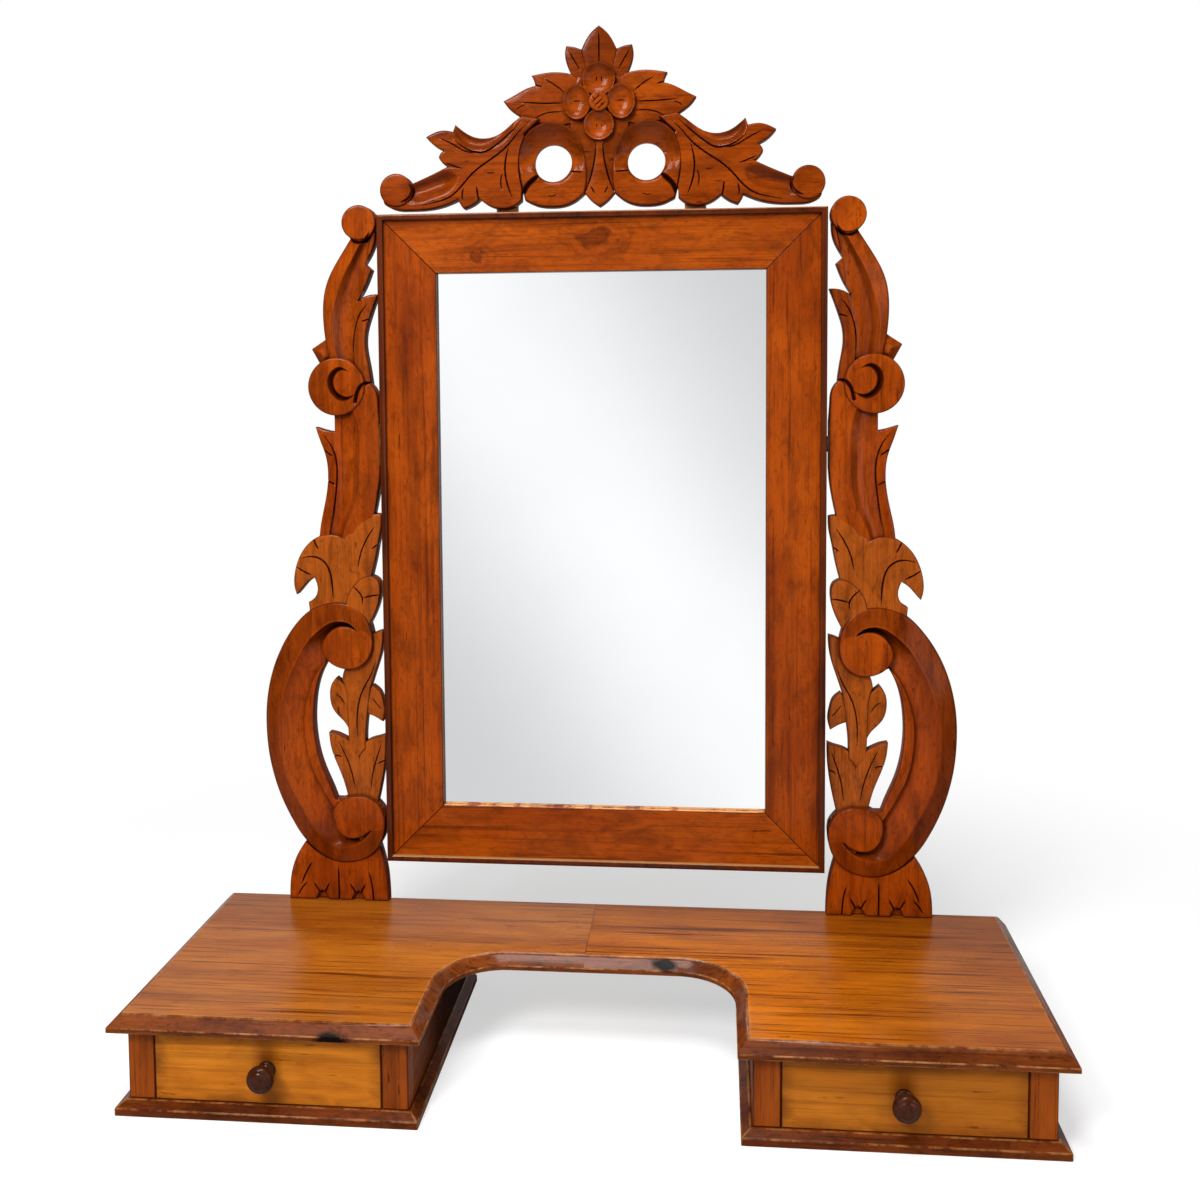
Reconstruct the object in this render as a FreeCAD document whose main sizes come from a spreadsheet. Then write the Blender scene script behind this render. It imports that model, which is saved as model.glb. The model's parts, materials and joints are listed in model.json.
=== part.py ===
import FreeCAD, Part
import os

import Sketcher
from FreeCAD import Rotation, Vector

# A toilet mirror in figured softwood: two drawer boxes carry a moulded top with a recess, two
# carved supports stand on the top, and a framed looking glass with a carved crest tilts between them.
# Lengths are in millimetres. X runs to the right, Y runs to the back and Z runs up from the table.

SIZES = {
    # The top
    "top_width": 840,
    "top_depth": 280,
    "top_thickness": 14,
    "top_moulding_size": 9.5,
    "recess_width": 274,
    "recess_depth": 147,
    "recess_radius": 55,
    "seam_offset": -9,
    "joint_batten_width": 90,
    "joint_batten_thickness": 10,
    "joint_batten_setback": 28,
    "joint_batten_screw_bite": 9,
    # The drawer boxes
    "box_height": 77,
    "side_overhang": 15,
    "recess_overhang": 13,
    "front_overhang": 12,
    "bottom_board_thickness": 12,
    "bottom_board_overhang": 10,
    "bottom_moulding_height": 5,
    "bottom_moulding_run": 8,
    "stile_width": 24,
    "stile_thickness": 18,
    "side_thickness": 12,
    "back_thickness": 12,
    "guide_height": 40,
    # The drawers
    "drawer_gap": 0.8,
    "drawer_lift": 0.3,
    "drawer_top_gap": 1.5,
    "drawer_back_gap": 16,
    "drawer_front_thickness": 16,
    "drawer_front_lap": 8,
    "drawer_side_thickness": 8,
    "drawer_side_drop": 13,
    "drawer_back_thickness": 8,
    "drawer_bottom_thickness": 4,
    "drawer_bottom_rise": 6,
    "groove_depth": 3,
    # The drawer knobs
    "knob_diameter": 24.5,
    "knob_thickness": 11,
    "knob_round": 3.5,
    "knob_neck_diameter": 10,
    "knob_collar_diameter": 15,
    "knob_collar_height": 6,
    "knob_projection": 24,
    "knob_spigot_diameter": 8,
    "knob_spigot_length": 10,
    # The carved supports
    "support_width": 135,
    "support_height": 744,
    "support_thickness": 18,
    "support_gap": 2.5,
    "support_screw_bite": 28,
    # The looking glass frame
    "frame_width": 462,
    "frame_height": 684,
    "frame_clearance": 49,
    "frame_member_width": 61,
    "frame_thickness": 22,
    "backing_setback": 6,
    "rebate_width": 6,
    "bead_width": 6.5,
    "bead_height": 4.5,
    "bead_round": 2,
    "glass_thickness": 4,
    "backing_thickness": 5,
    "backing_pin_diameter": 1.6,
    "backing_pin_length": 14,
    "backing_pin_grip": 7,
    # The tilt pivots
    "pivot_plate_width": 12,
    "pivot_plate_height": 44,
    "pivot_plate_thickness": 2,
    "pivot_screw_spacing": 28,
    "pivot_screw_length": 13,
    "pin_diameter": 6,
    "pin_reach": 16,
    "pin_bore_spare": 2,
    "washer_diameter": 16,
    "washer_clearance": 0.3,
    # The carved crest
    "crest_inset": 2,
    "crest_height": 184,
    "crest_thickness": 18,
    "crest_gap": 5,
    "crest_batten_spacing": 196,
    "crest_batten_width": 22,
    "crest_batten_thickness": 8,
    "crest_batten_up": 58,
    "crest_batten_down": 46,
    "crest_screw_bite": 10,
    "crest_screw_inset": 12,
    "crest_screw_spacing": 24,
    # Fastenings and fits
    "screw_head_diameter": 7,
    "screw_head_height": 2,
    "screw_shank_diameter": 3.5,
    "fit_clearance": 0.1,
    "running_clearance": 0.05,
    "overrun": 2,
}

# Outlines of the carving. Each outline is a start and rows of points, where a row is one smooth
# stroke and the strokes meet on corners. On a support the shares run outward from the inner edge,
# as shares of its width, and up from the foot, as shares of its height. On the crest they run
# outward from the centre, as shares of half its width, and up, as shares of its height.
# The first number is how much of the thickness a mass fills, from the back.

SUPPORT_MASS_SHARES = {
    "foot": (0.8, (0.0, 0.0), [
        [(0.004, 0.022), (0.02, 0.05), (0.065, 0.083)],
        [(0.3, 0.13)],
        [(0.6, 0.1)],
        [(0.668, 0.087)],
        [(0.735, 0.068), (0.785, 0.045), (0.806, 0.022), (0.81, 0.0)],
        [(0.59, 0.0)],
        [(0.565, 0.01), (0.54, 0.013), (0.515, 0.01), (0.49, 0.0)],
        [(0.3, 0.0)],
        [(0.27, 0.01), (0.245, 0.013), (0.22, 0.01), (0.19, 0.0)],
        [(0.0, 0.0)],
    ]),
    "scroll": (0.9, (0.085, 0.147), [
        [(0.045, 0.141), (0.015, 0.132), (0.008, 0.117), (0.025, 0.097), (0.07, 0.081),
         (0.14, 0.068), (0.25, 0.0595), (0.36, 0.0575), (0.47, 0.062), (0.57, 0.0715),
         (0.668, 0.0865), (0.765, 0.109), (0.825, 0.129), (0.885, 0.154), (0.935, 0.183),
         (0.97, 0.215), (0.985, 0.25), (0.982, 0.28), (0.96, 0.31), (0.92, 0.338),
         (0.865, 0.363), (0.79, 0.387), (0.7, 0.4085), (0.6, 0.425), (0.47, 0.4355),
         (0.34, 0.4375), (0.22, 0.43), (0.13, 0.415), (0.092, 0.395)],
        [(0.085, 0.378), (0.115, 0.361)],
        [(0.285, 0.352)],
        [(0.465, 0.352)],
        [(0.515, 0.335), (0.555, 0.313), (0.575, 0.29), (0.582, 0.262), (0.57, 0.235),
         (0.545, 0.212), (0.5, 0.188), (0.45, 0.167), (0.415, 0.15)],
        [(0.25, 0.15)],
        [(0.085, 0.147)],
    ]),
    "tulip_inner": (0.62, (0.085, 0.14), [
        [(0.045, 0.172), (0.022, 0.195), (0.005, 0.225), (0.003, 0.246)],
        [(0.06, 0.242), (0.12, 0.239), (0.17, 0.234), (0.22, 0.22)],
        [(0.23, 0.19), (0.21, 0.14)],
        [(0.085, 0.14)],
    ]),
    "tulip_outer": (0.66, (0.2, 0.14), [
        [(0.205, 0.19), (0.225, 0.22)],
        [(0.27, 0.232), (0.34, 0.24), (0.41, 0.2455), (0.465, 0.2475)],
        [(0.455, 0.23), (0.43, 0.213), (0.395, 0.197), (0.355, 0.178), (0.315, 0.15)],
        [(0.2, 0.14)],
    ]),
    "stem": (0.7, (0.165, 0.225), [
        [(0.163, 0.25), (0.15, 0.272), (0.13, 0.3), (0.118, 0.314)],
        [(0.075, 0.338), (0.035, 0.36), (0.012, 0.382), (0.008, 0.398)],
        [(0.05, 0.396), (0.12, 0.39)],
        [(0.18, 0.36), (0.315, 0.345)],
        [(0.337, 0.335), (0.347, 0.325)],
        [(0.325, 0.315), (0.31, 0.29), (0.305, 0.25), (0.3, 0.225)],
        [(0.225, 0.212)],
        [(0.165, 0.225)],
    ]),
    "leaf_inner": (0.6, (0.147, 0.275), [
        [(0.1, 0.272), (0.06, 0.268), (0.025, 0.264)],
        [(0.008, 0.277), (0.02, 0.295), (0.045, 0.308), (0.105, 0.3175)],
        [(0.2, 0.29)],
        [(0.147, 0.275)],
    ]),
    "leaf_outer": (0.6, (0.25, 0.3), [
        [(0.33, 0.3185)],
        [(0.36, 0.3225), (0.398, 0.328)],
        [(0.437, 0.318), (0.453, 0.2985), (0.43, 0.2815), (0.38, 0.27), (0.335, 0.2615),
         (0.29, 0.245)],
        [(0.25, 0.3)],
    ]),
    "bud": (0.66, (0.115, 0.405), [
        [(0.06, 0.425), (0.03, 0.442), (0.02, 0.456), (0.04, 0.471), (0.095, 0.477)],
        [(0.16, 0.4735), (0.23, 0.463), (0.29, 0.442), (0.3, 0.42)],
        [(0.115, 0.405)],
    ]),
    "pointed_leaf": (0.76, (0.1, 0.47), [
        [(0.055, 0.502), (0.028, 0.527), (0.006, 0.548), (0.003, 0.564)],
        [(0.06, 0.5655), (0.13, 0.5575), (0.2, 0.547), (0.235, 0.538)],
        [(0.27, 0.536), (0.31, 0.527)],
        [(0.36, 0.47), (0.37, 0.42)],
        [(0.2, 0.43)],
        [(0.1, 0.47)],
    ]),
    "hooked_leaf": (0.84, (0.3, 0.5285), [
        [(0.36, 0.534), (0.43, 0.5355), (0.5, 0.5335), (0.57, 0.5265), (0.64, 0.513),
         (0.69, 0.495), (0.716, 0.475), (0.715, 0.459), (0.698, 0.4485)],
        [(0.655, 0.4575), (0.6, 0.468), (0.553, 0.4735)],
        [(0.533, 0.464), (0.53, 0.4535), (0.555, 0.444), (0.603, 0.438)],
        [(0.593, 0.42)],
        [(0.28, 0.42)],
        [(0.285, 0.47), (0.3, 0.5285)],
    ]),
    "lower_band": (0.7, (0.12, 0.53), [
        [(0.06, 0.62), (0.055, 0.69), (0.12, 0.735)],
        [(0.37, 0.73)],
        [(0.37, 0.6825)],
        [(0.44, 0.685), (0.522, 0.6895)],
        [(0.485, 0.669), (0.448, 0.65), (0.43, 0.628), (0.435, 0.605), (0.465, 0.575),
         (0.495, 0.55), (0.515, 0.515)],
        [(0.12, 0.53)],
    ]),
    "lower_rim": (0.88, (0.075, 0.552), [
        [(0.035, 0.585), (0.01, 0.612), (0.0, 0.632)],
        [(0.0, 0.696)],
        [(0.01, 0.722), (0.035, 0.743), (0.085, 0.7505), (0.13, 0.743), (0.14, 0.725),
         (0.122, 0.695), (0.11, 0.66), (0.118, 0.625), (0.15, 0.59), (0.21, 0.545)],
        [(0.075, 0.552)],
    ]),
    "upper_band": (0.72, (0.06, 0.745), [
        [(0.085, 0.777), (0.107, 0.803), (0.098, 0.825), (0.07, 0.842), (0.035, 0.86), (0.0, 0.876)],
        [(0.06, 0.8755), (0.13, 0.871), (0.165, 0.867)],
        [(0.12, 0.88), (0.08, 0.895), (0.048, 0.91)],
        [(0.1, 0.9185)],
        [(0.055, 0.932), (0.022, 0.947), (0.012, 0.968)],
        [(0.137, 0.985)],
        [(0.22, 0.94), (0.3, 0.91), (0.37, 0.87), (0.38, 0.82), (0.36, 0.76)],
        [(0.06, 0.745)],
    ]),
    "upper_rim": (0.86, (0.204, 0.957), [
        [(0.29, 0.933), (0.35, 0.9155), (0.4, 0.8975), (0.43, 0.88), (0.445, 0.857), (0.443, 0.835),
         (0.43, 0.812), (0.395, 0.775)],
        [(0.345, 0.79)],
        [(0.36, 0.82), (0.35, 0.85), (0.32, 0.88), (0.28, 0.905), (0.22, 0.927), (0.16, 0.955)],
        [(0.204, 0.957)],
    ]),
    "spur": (0.66, (0.4, 0.818), [
        [(0.55, 0.8)],
        [(0.46, 0.77)],
        [(0.36, 0.785)],
        [(0.4, 0.818)],
    ]),
}

# Round masses: how much of the thickness they fill, the centre, and the radius as a share of the width.
SUPPORT_DISC_SHARES = {
    "lower_volute": (1.0, (0.255, 0.119), 0.205),
    "upper_volute": (1.0, (0.287, 0.374), 0.185),
    "great_volute": (1.0, (0.335, 0.7465), 0.225),
    "top_ball": (0.97, (0.137, 0.97581), 0.1333),
}

# Where the two foot screws stand across a support, and how far up it the tilt pivot sits.
FOOT_SCREW_SHARES = (0.395, 0.7)
PIVOT_HEIGHT_SHARE = 0.664

CREST_MIDDLE_SHARES = {
    "finial": (0.55, (0.0, 1.0), [
        [(0.035, 0.963), (0.062, 0.915), (0.08, 0.868)],
        [(0.06, 0.76)],
        [(-0.06, 0.76)],
        [(-0.08, 0.868)],
        [(-0.062, 0.915), (-0.035, 0.963), (0.0, 1.0)],
    ]),
    "ground": (0.5, (0.06, 0.09), [
        [(0.12, 0.3)],
        [(0.14, 0.62)],
        [(0.09, 0.72)],
        [(-0.09, 0.72)],
        [(-0.14, 0.62)],
        [(-0.12, 0.3)],
        [(-0.06, 0.09)],
        [(0.06, 0.09)],
    ]),
    "drop": (0.72, (0.0, 0.003), [
        [(0.04, 0.04), (0.067, 0.078)],
        [(0.05, 0.13), (0.033, 0.2), (0.02, 0.28), (0.018, 0.38)],
        [(-0.018, 0.38)],
        [(-0.02, 0.28), (-0.033, 0.2), (-0.05, 0.13), (-0.067, 0.078)],
        [(-0.04, 0.04), (0.0, 0.003)],
    ]),
}

CREST_SIDE_SHARES = {
    "finial_leaf": (0.48, (0.078, 0.872), [
        [(0.11, 0.887), (0.148, 0.894)],
        [(0.153, 0.86), (0.147, 0.8), (0.122, 0.725)],
        [(0.07, 0.66)],
        [(0.03, 0.72)],
        [(0.055, 0.82), (0.078, 0.872)],
    ]),
    "upper_leaf": (0.66, (0.08, 0.7), [
        [(0.115, 0.732), (0.165, 0.748), (0.215, 0.751), (0.26, 0.745), (0.305, 0.735)],
        [(0.293, 0.705), (0.288, 0.68)],
        [(0.33, 0.664), (0.375, 0.635), (0.433, 0.598)],
        [(0.41, 0.56), (0.38, 0.53), (0.345, 0.5)],
        [(0.2, 0.44)],
        [(0.05, 0.5)],
        [(0.08, 0.7)],
    ]),
    "curl": (0.8, (0.27, 0.49), [
        [(0.348, 0.509)],
        [(0.41, 0.455), (0.47, 0.41), (0.53, 0.395), (0.59, 0.415), (0.65, 0.47)],
        [(0.663, 0.425)],
        [(0.64, 0.36)],
        [(0.58, 0.31), (0.5, 0.3), (0.4, 0.34)],
        [(0.27, 0.49)],
    ]),
    "side_leaves": (0.66, (0.6, 0.38), [
        [(0.655, 0.43)],
        [(0.7, 0.44), (0.745, 0.43), (0.785, 0.405)],
        [(0.755, 0.365), (0.705, 0.328)],
        [(0.722, 0.31), (0.728, 0.29)],
        [(0.708, 0.255), (0.68, 0.232)],
        [(0.55, 0.2)],
        [(0.45, 0.32)],
        [(0.6, 0.38)],
    ]),
    "arm": (0.85, (0.6, 0.235), [
        [(0.69, 0.238)],
        [(0.765, 0.195), (0.875, 0.14)],
        [(0.95, 0.1)],
        [(0.985, 0.047), (0.945, 0.01), (0.88, 0.0), (0.8, 0.002), (0.71, 0.022), (0.643, 0.055)],
        [(0.55, 0.14)],
        [(0.6, 0.235)],
    ]),
    "lobes": (0.78, (0.645, 0.07), [
        [(0.635, 0.035), (0.6175, 0.003)],
        [(0.575, 0.025), (0.543, 0.055)],
        [(0.515, 0.028), (0.475, 0.006), (0.425, 0.001), (0.38, 0.018), (0.353, 0.045)],
        [(0.35, 0.1), (0.33, 0.15), (0.28, 0.2)],
        [(0.3, 0.32)],
        [(0.36, 0.45)],
        [(0.5, 0.35)],
        [(0.62, 0.22)],
        [(0.645, 0.07)],
    ]),
    "ring": (0.74, (0.068, 0.077), [
        [(0.058, 0.15), (0.068, 0.28), (0.11, 0.41), (0.22, 0.472), (0.32, 0.42), (0.362, 0.3),
         (0.358, 0.15), (0.337, 0.044)],
        [(0.28, 0.012), (0.22, 0.003), (0.165, 0.008), (0.11, 0.035), (0.068, 0.077)],
    ]),
}

# Round masses and eye holes of the crest, with the radius as a share of half the crest's width.
CREST_DISC_SHARES = {
    "petal_top": (0.9, (0.0, 0.702), 0.0742),
    "petal_bottom": (0.9, (0.0, 0.452), 0.069),
    "petal_left": (0.9, (-0.099, 0.578), 0.064),
    "petal_right": (0.9, (0.099, 0.578), 0.064),
    "flower_button": (1.0, (0.0, 0.577), 0.0415),
    "ball_left": (0.95, (-0.9258, 0.113), 0.0742),
    "ball_right": (0.95, (0.9258, 0.113), 0.0742),
}
CREST_EYE_SHARES = {
    "eye_left": ((-0.21, 0.25), 0.0843),
    "eye_right": ((0.21, 0.25), 0.0843),
}

SIDES = ("left", "right")

# Planes that several pieces share, as expressions in the sizes.
KNOB_REACH = "(Sizes.knob_projection - Sizes.front_overhang)"
REAR_REACH = "((Sizes.frame_thickness - Sizes.support_thickness) / 2 + Sizes.crest_batten_thickness)"
FRONT = f"(({KNOB_REACH} - {REAR_REACH} - Sizes.top_depth) / 2)"
BACK = f"({FRONT} + Sizes.top_depth)"
TOP_UNDERSIDE = "Sizes.box_height"
TOP_FACE = "(Sizes.box_height + Sizes.top_thickness)"
RECESS_SIDE = "(Sizes.recess_width / 2)"
RECESS_BACK = f"({FRONT} + Sizes.recess_depth)"
BOX_FRONT = f"({FRONT} + Sizes.front_overhang)"
BOX_OUTER = "(Sizes.top_width / 2 - Sizes.side_overhang)"
BOX_INNER = f"({RECESS_SIDE} + Sizes.recess_overhang)"
BOX_FLOOR = "Sizes.bottom_board_thickness"
STILE_BACK = f"({BOX_FRONT} + Sizes.stile_thickness)"
BAY_OUTER = f"({BOX_OUTER} - Sizes.stile_width)"
BAY_INNER = f"({BOX_INNER} + Sizes.stile_width)"
DRAWER_OUTER = f"({BAY_OUTER} - Sizes.drawer_gap)"
DRAWER_INNER = f"({BAY_INNER} + Sizes.drawer_gap)"
DRAWER_LOW = f"({BOX_FLOOR} + Sizes.drawer_lift)"
DRAWER_TOP = f"({TOP_UNDERSIDE} - Sizes.drawer_top_gap)"
DRAWER_BACK = f"({BACK} - Sizes.back_thickness - Sizes.drawer_back_gap)"
DRAWER_SIDE_TOP = f"({DRAWER_TOP} - Sizes.drawer_side_drop)"
DRAWER_FRONT_BACK = f"({BOX_FRONT} + Sizes.drawer_front_thickness)"
DRAWER_LAP = f"({BOX_FRONT} + Sizes.drawer_front_lap)"
DRAWER_MIDDLE = f"(({BAY_OUTER} + {BAY_INNER}) / 2)"
KNOB_HEIGHT = f"(({DRAWER_LOW} + {DRAWER_TOP}) / 2)"
FRAME_SIDE = "(Sizes.frame_width / 2)"
FRAME_BOTTOM = f"({TOP_FACE} + Sizes.frame_clearance)"
FRAME_TOP = f"({FRAME_BOTTOM} + Sizes.frame_height)"
PIVOT_Y = f"({BACK} - Sizes.support_thickness / 2)"
PIVOT_Z = f"({TOP_FACE} + {PIVOT_HEIGHT_SHARE} * Sizes.support_height)"
FRAME_FRONT = f"({PIVOT_Y} - Sizes.frame_thickness / 2)"
FRAME_BACK = f"({PIVOT_Y} + Sizes.frame_thickness / 2)"
SIGHT_SIDE = f"({FRAME_SIDE} - Sizes.frame_member_width)"
SIGHT_BOTTOM = f"({FRAME_BOTTOM} + Sizes.frame_member_width)"
SIGHT_TOP = f"({FRAME_TOP} - Sizes.frame_member_width)"
BACKING_BACK = f"({FRAME_BACK} - Sizes.backing_setback)"
GLASS_BACK = f"({BACKING_BACK} - Sizes.backing_thickness)"
GLASS_FRONT = f"({GLASS_BACK} - Sizes.glass_thickness)"
SUPPORT_EDGE = f"({FRAME_SIDE} + Sizes.support_gap)"
CREST_BOTTOM = f"({FRAME_TOP} + Sizes.crest_gap)"
CREST_SIDE = f"({FRAME_SIDE} - Sizes.crest_inset)"

document = FreeCAD.newDocument("dressing_table_mirror")
sheet = document.addObject("Spreadsheet::Sheet", "Sizes")
for line, (alias, number) in enumerate(SIZES.items(), start=1):
    sheet.set(f"A{line}", alias)
    sheet.set(f"B{line}", str(number))
    sheet.setAlias(f"B{line}", alias)
document.recompute()

nodes = []


def value(expression):
    """The number that an expression in the sizes gives."""
    return float(sheet.evalExpression(expression))


def sign_of(name):
    """The way along X that is outward on a side."""
    return -1 if name == "left" else 1


def keep(piece, label):
    """Name a finished piece and put it on the list of nodes."""
    piece.Label = label
    nodes.append(piece)
    return piece


def bind(thing, expressions):
    """Tie properties of a thing to expressions in the sizes."""
    for name, expression in expressions.items():
        thing.setExpression(name, expression)
    return thing


def outward(side, near, far):
    """The x limits of a piece given outward from the centre, on the side asked for."""
    return (near, far) if side > 0 else (f"-({far})", f"-({near})")


def signed(side, expression):
    """An x place given outward from the centre, on the side asked for."""
    return expression if side > 0 else f"-({expression})"


def board(name, x, y, z):
    """A squared board between a low and a high plane on each axis."""
    piece = document.addObject("Part::Box", name)
    for axis, length, (low, high) in zip("xyz", ("Length", "Width", "Height"), (x, y, z)):
        bind(piece, {f"Placement.Base.{axis}": low, length: f"({high}) - ({low})"})
    return piece


def rod(name, place, axis, radius, length):
    """A round rod that starts at a place and runs along an axis."""
    piece = document.addObject("Part::Cylinder", name)
    piece.Placement.Rotation = Rotation(Vector(0, 0, 1), axis)
    bind(piece, {f"Placement.Base.{letter}": at for letter, at in zip("xyz", place)})
    return bind(piece, {"Radius": radius, "Height": length})


def group(name, members):
    """Separate solids held together as one object."""
    piece = document.addObject("Part::Compound", name)
    piece.Links = members
    return piece


def cut(name, base, tools):
    """A piece with other shapes taken out of it."""
    piece = document.addObject("Part::Cut", name)
    piece.Base = base
    piece.Tool = tools[0] if len(tools) == 1 else group(name + "_tools", tools)
    return piece


def fuse(name, base, other):
    """Two shapes joined as one solid."""
    piece = document.addObject("Part::Fuse", name)
    piece.Base = base
    piece.Tool = other
    return piece


def screw(name, place, axis, length, clearance="0"):
    """A countersunk screw whose flat head faces back along the axis, or the hole for one."""
    shank_radius = f"Sizes.screw_shank_diameter / 2 + {clearance}"
    head = document.addObject("Part::Cone", name + "_head")
    head.Placement.Rotation = Rotation(Vector(0, 0, 1), axis)
    bind(head, {f"Placement.Base.{letter}": at for letter, at in zip("xyz", place)})
    bind(head, {
        "Radius1": f"Sizes.screw_head_diameter / 2 + {clearance}",
        "Radius2": shank_radius,
        "Height": "Sizes.screw_head_height",
    })
    shank = rod(name + "_shank", place, axis, shank_radius, f"{length} + {clearance}")
    return fuse(name, head, shank)


def screws_and_holes(name, places, axis, length):
    """Screws at several places, and the holes that they go into."""
    fixings = [screw(f"{name}_{i}", place, axis, length) for i, place in enumerate(places)]
    holes = [screw(f"{name}_hole_{i}", place, axis, length, "Sizes.fit_clearance")
             for i, place in enumerate(places)]
    return fixings, holes


def outline_sketch(body, role, points, offset="0"):
    """A closed sketch of straight lines on a body's own plane, with every corner tied to the sizes."""
    sketch = body.newObject("Sketcher::SketchObject", body.Name + "_outline")
    plane = next(feature for feature in body.Origin.OriginFeatures if feature.Role == role)
    sketch.AttachmentSupport = [(plane, "")]
    sketch.MapMode = "FlatFace"
    sketch.setExpression("AttachmentOffset.Base.z", offset)
    corners = [Vector(value(across), value(up), 0) for across, up in points]
    count = len(points)
    for i, corner in enumerate(corners):
        sketch.addGeometry(Part.LineSegment(corner, corners[(i + 1) % count]))
    for i in range(count):
        sketch.addConstraint(Sketcher.Constraint("Coincident", i, 2, (i + 1) % count, 1))
    for i, (across, up) in enumerate(points):
        ties = (("DistanceX", corners[i].x, across), ("DistanceY", corners[i].y, up))
        for kind, number, expression in ties:
            index = sketch.addConstraint(Sketcher.Constraint(kind, -1, 1, i, 1, number))
            sketch.setExpression(f"Constraints[{index}]", expression)
    return sketch


def padded_body(name, role, points, depth, offset="0"):
    """A body padded from a closed outline of straight lines."""
    body = document.addObject("PartDesign::Body", name)
    pad = body.newObject("PartDesign::Pad", name + "_pad")
    pad.Profile = outline_sketch(body, role, points, offset)
    pad.setExpression("Length", depth)
    document.recompute()
    return body


def edges_of(feature, wanted):
    """The names of the edges of a feature that a test wants."""
    return [f"Edge{i}" for i, edge in enumerate(feature.Shape.Edges, start=1) if wanted(edge)]


def dress(body, kind, edges, expressions):
    """Put a fillet or a chamfer on some edges of a body's last feature."""
    base = body.Tip
    dressing = body.newObject(f"PartDesign::{kind}", f"{body.Name}_{kind.lower()}")
    dressing.Base = (base, edges)
    bind(dressing, expressions)
    document.recompute()


def lies_on(edge, axis, expression):
    """Whether the whole of an edge lies on the plane that an expression gives."""
    place = value(expression)
    tolerance = value("Sizes.fit_clearance")
    box = edge.BoundBox
    return max(abs(getattr(box, axis + "Min") - place), abs(getattr(box, axis + "Max") - place)) < tolerance


# The top, in two boards that meet on a seam
def make_top_board(name, side, holes):
    """One board of the top, with the moulding on its front, its end and its part of the recess."""
    seam = "Sizes.seam_offset"
    end = signed(side, "Sizes.top_width / 2")
    recess = signed(side, RECESS_SIDE)
    points = [
        (seam, BACK), (end, BACK), (end, FRONT),
        (recess, FRONT), (recess, RECESS_BACK), (seam, RECESS_BACK)]
    body = padded_body(f"top_blank_{name}", "XY_Plane", points, "Sizes.top_thickness", TOP_UNDERSIDE)

    def is_recess_corner(edge):
        return lies_on(edge, "X", recess) and lies_on(edge, "Y", RECESS_BACK)

    def is_moulded(edge):
        plain = lies_on(edge, "Y", BACK) or lies_on(edge, "X", seam)
        return lies_on(edge, "Z", TOP_FACE) and not plain

    dress(body, "Fillet", edges_of(body.Tip, is_recess_corner), {"Radius": "Sizes.recess_radius"})
    dress(body, "Chamfer", edges_of(body.Tip, is_moulded), {"Size": "Sizes.top_moulding_size"})
    keep(cut(f"top_cut_{name}", body, holes), f"top_board_{name}")


def make_top():
    """The top, the batten under its seam and its screws; return the foot screws' holes by side."""
    up = Vector(0, 0, 1)
    foot_fixings, foot_holes = {}, {}
    for name in SIDES:
        side = sign_of(name)
        places = [(signed(side, f"{SUPPORT_EDGE} + {share} * Sizes.support_width"), PIVOT_Y, TOP_UNDERSIDE)
                  for share in FOOT_SCREW_SHARES]
        foot_fixings[name], foot_holes[name] = screws_and_holes(
            f"foot_screw_{name}", places, up, "(Sizes.top_thickness + Sizes.support_screw_bite)")
    low = f"({TOP_UNDERSIDE} - Sizes.joint_batten_thickness)"
    front = f"({RECESS_BACK} + Sizes.joint_batten_setback)"
    back = f"({BACK} - Sizes.joint_batten_setback)"
    batten_fixings, batten_holes = [], {}
    for name in SIDES:
        side = sign_of(name)
        x = f"(Sizes.seam_offset + ({signed(side, 'Sizes.joint_batten_width / 4')}))"
        places = [(x, f"({front} + ({back} - {front}) * {quarter} / 4)", low) for quarter in (1, 3)]
        fixings, batten_holes[name] = screws_and_holes(
            f"batten_screw_{name}", places, up,
            "(Sizes.joint_batten_thickness + Sizes.joint_batten_screw_bite)")
        batten_fixings += fixings
        make_top_board(name, side, foot_holes[name] + batten_holes[name])
    half = "Sizes.joint_batten_width / 2"
    batten = board(
        "joint_batten_blank", (f"Sizes.seam_offset - {half}", f"Sizes.seam_offset + {half}"),
        (front, back), (low, TOP_UNDERSIDE))
    keep(cut("joint_batten_cut", batten, batten_holes["left"] + batten_holes["right"]), "top_joint_batten")
    keep(group("batten_screw_set", batten_fixings), "batten_screws")
    keep(group("foot_screw_set", foot_fixings["left"] + foot_fixings["right"]), "support_fixing_screws")
    return foot_holes


# One drawer box: a moulded bottom board, two sides, a back, two front stiles and two drawer guides
def make_box(name, side):
    make_bottom_board(name, side)
    height = (BOX_FLOOR, TOP_UNDERSIDE)
    side_depth = (STILE_BACK, BACK)
    back_depth = (f"{BACK} - Sizes.back_thickness", BACK)
    guide_depth = (STILE_BACK, back_depth[0])
    guide_height = (BOX_FLOOR, f"{BOX_FLOOR} + Sizes.guide_height")
    side_outer = f"({BOX_OUTER} - Sizes.side_thickness)"
    side_inner = f"({BOX_INNER} + Sizes.side_thickness)"
    pieces = {
        "outer_side": (outward(side, side_outer, BOX_OUTER), side_depth, height),
        "inner_side": (outward(side, BOX_INNER, side_inner), side_depth, height),
        "back_panel": (outward(side, side_inner, side_outer), back_depth, height),
        "outer_stile": (outward(side, BAY_OUTER, BOX_OUTER), (BOX_FRONT, STILE_BACK), height),
        "inner_stile": (outward(side, BOX_INNER, BAY_INNER), (BOX_FRONT, STILE_BACK), height),
        "outer_guide": (outward(side, BAY_OUTER, side_outer), guide_depth, guide_height),
        "inner_guide": (outward(side, side_inner, BAY_INNER), guide_depth, guide_height),
    }
    for piece, limits in pieces.items():
        keep(board(f"{piece}_{name}", *limits), f"{piece}_{name}")


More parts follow.
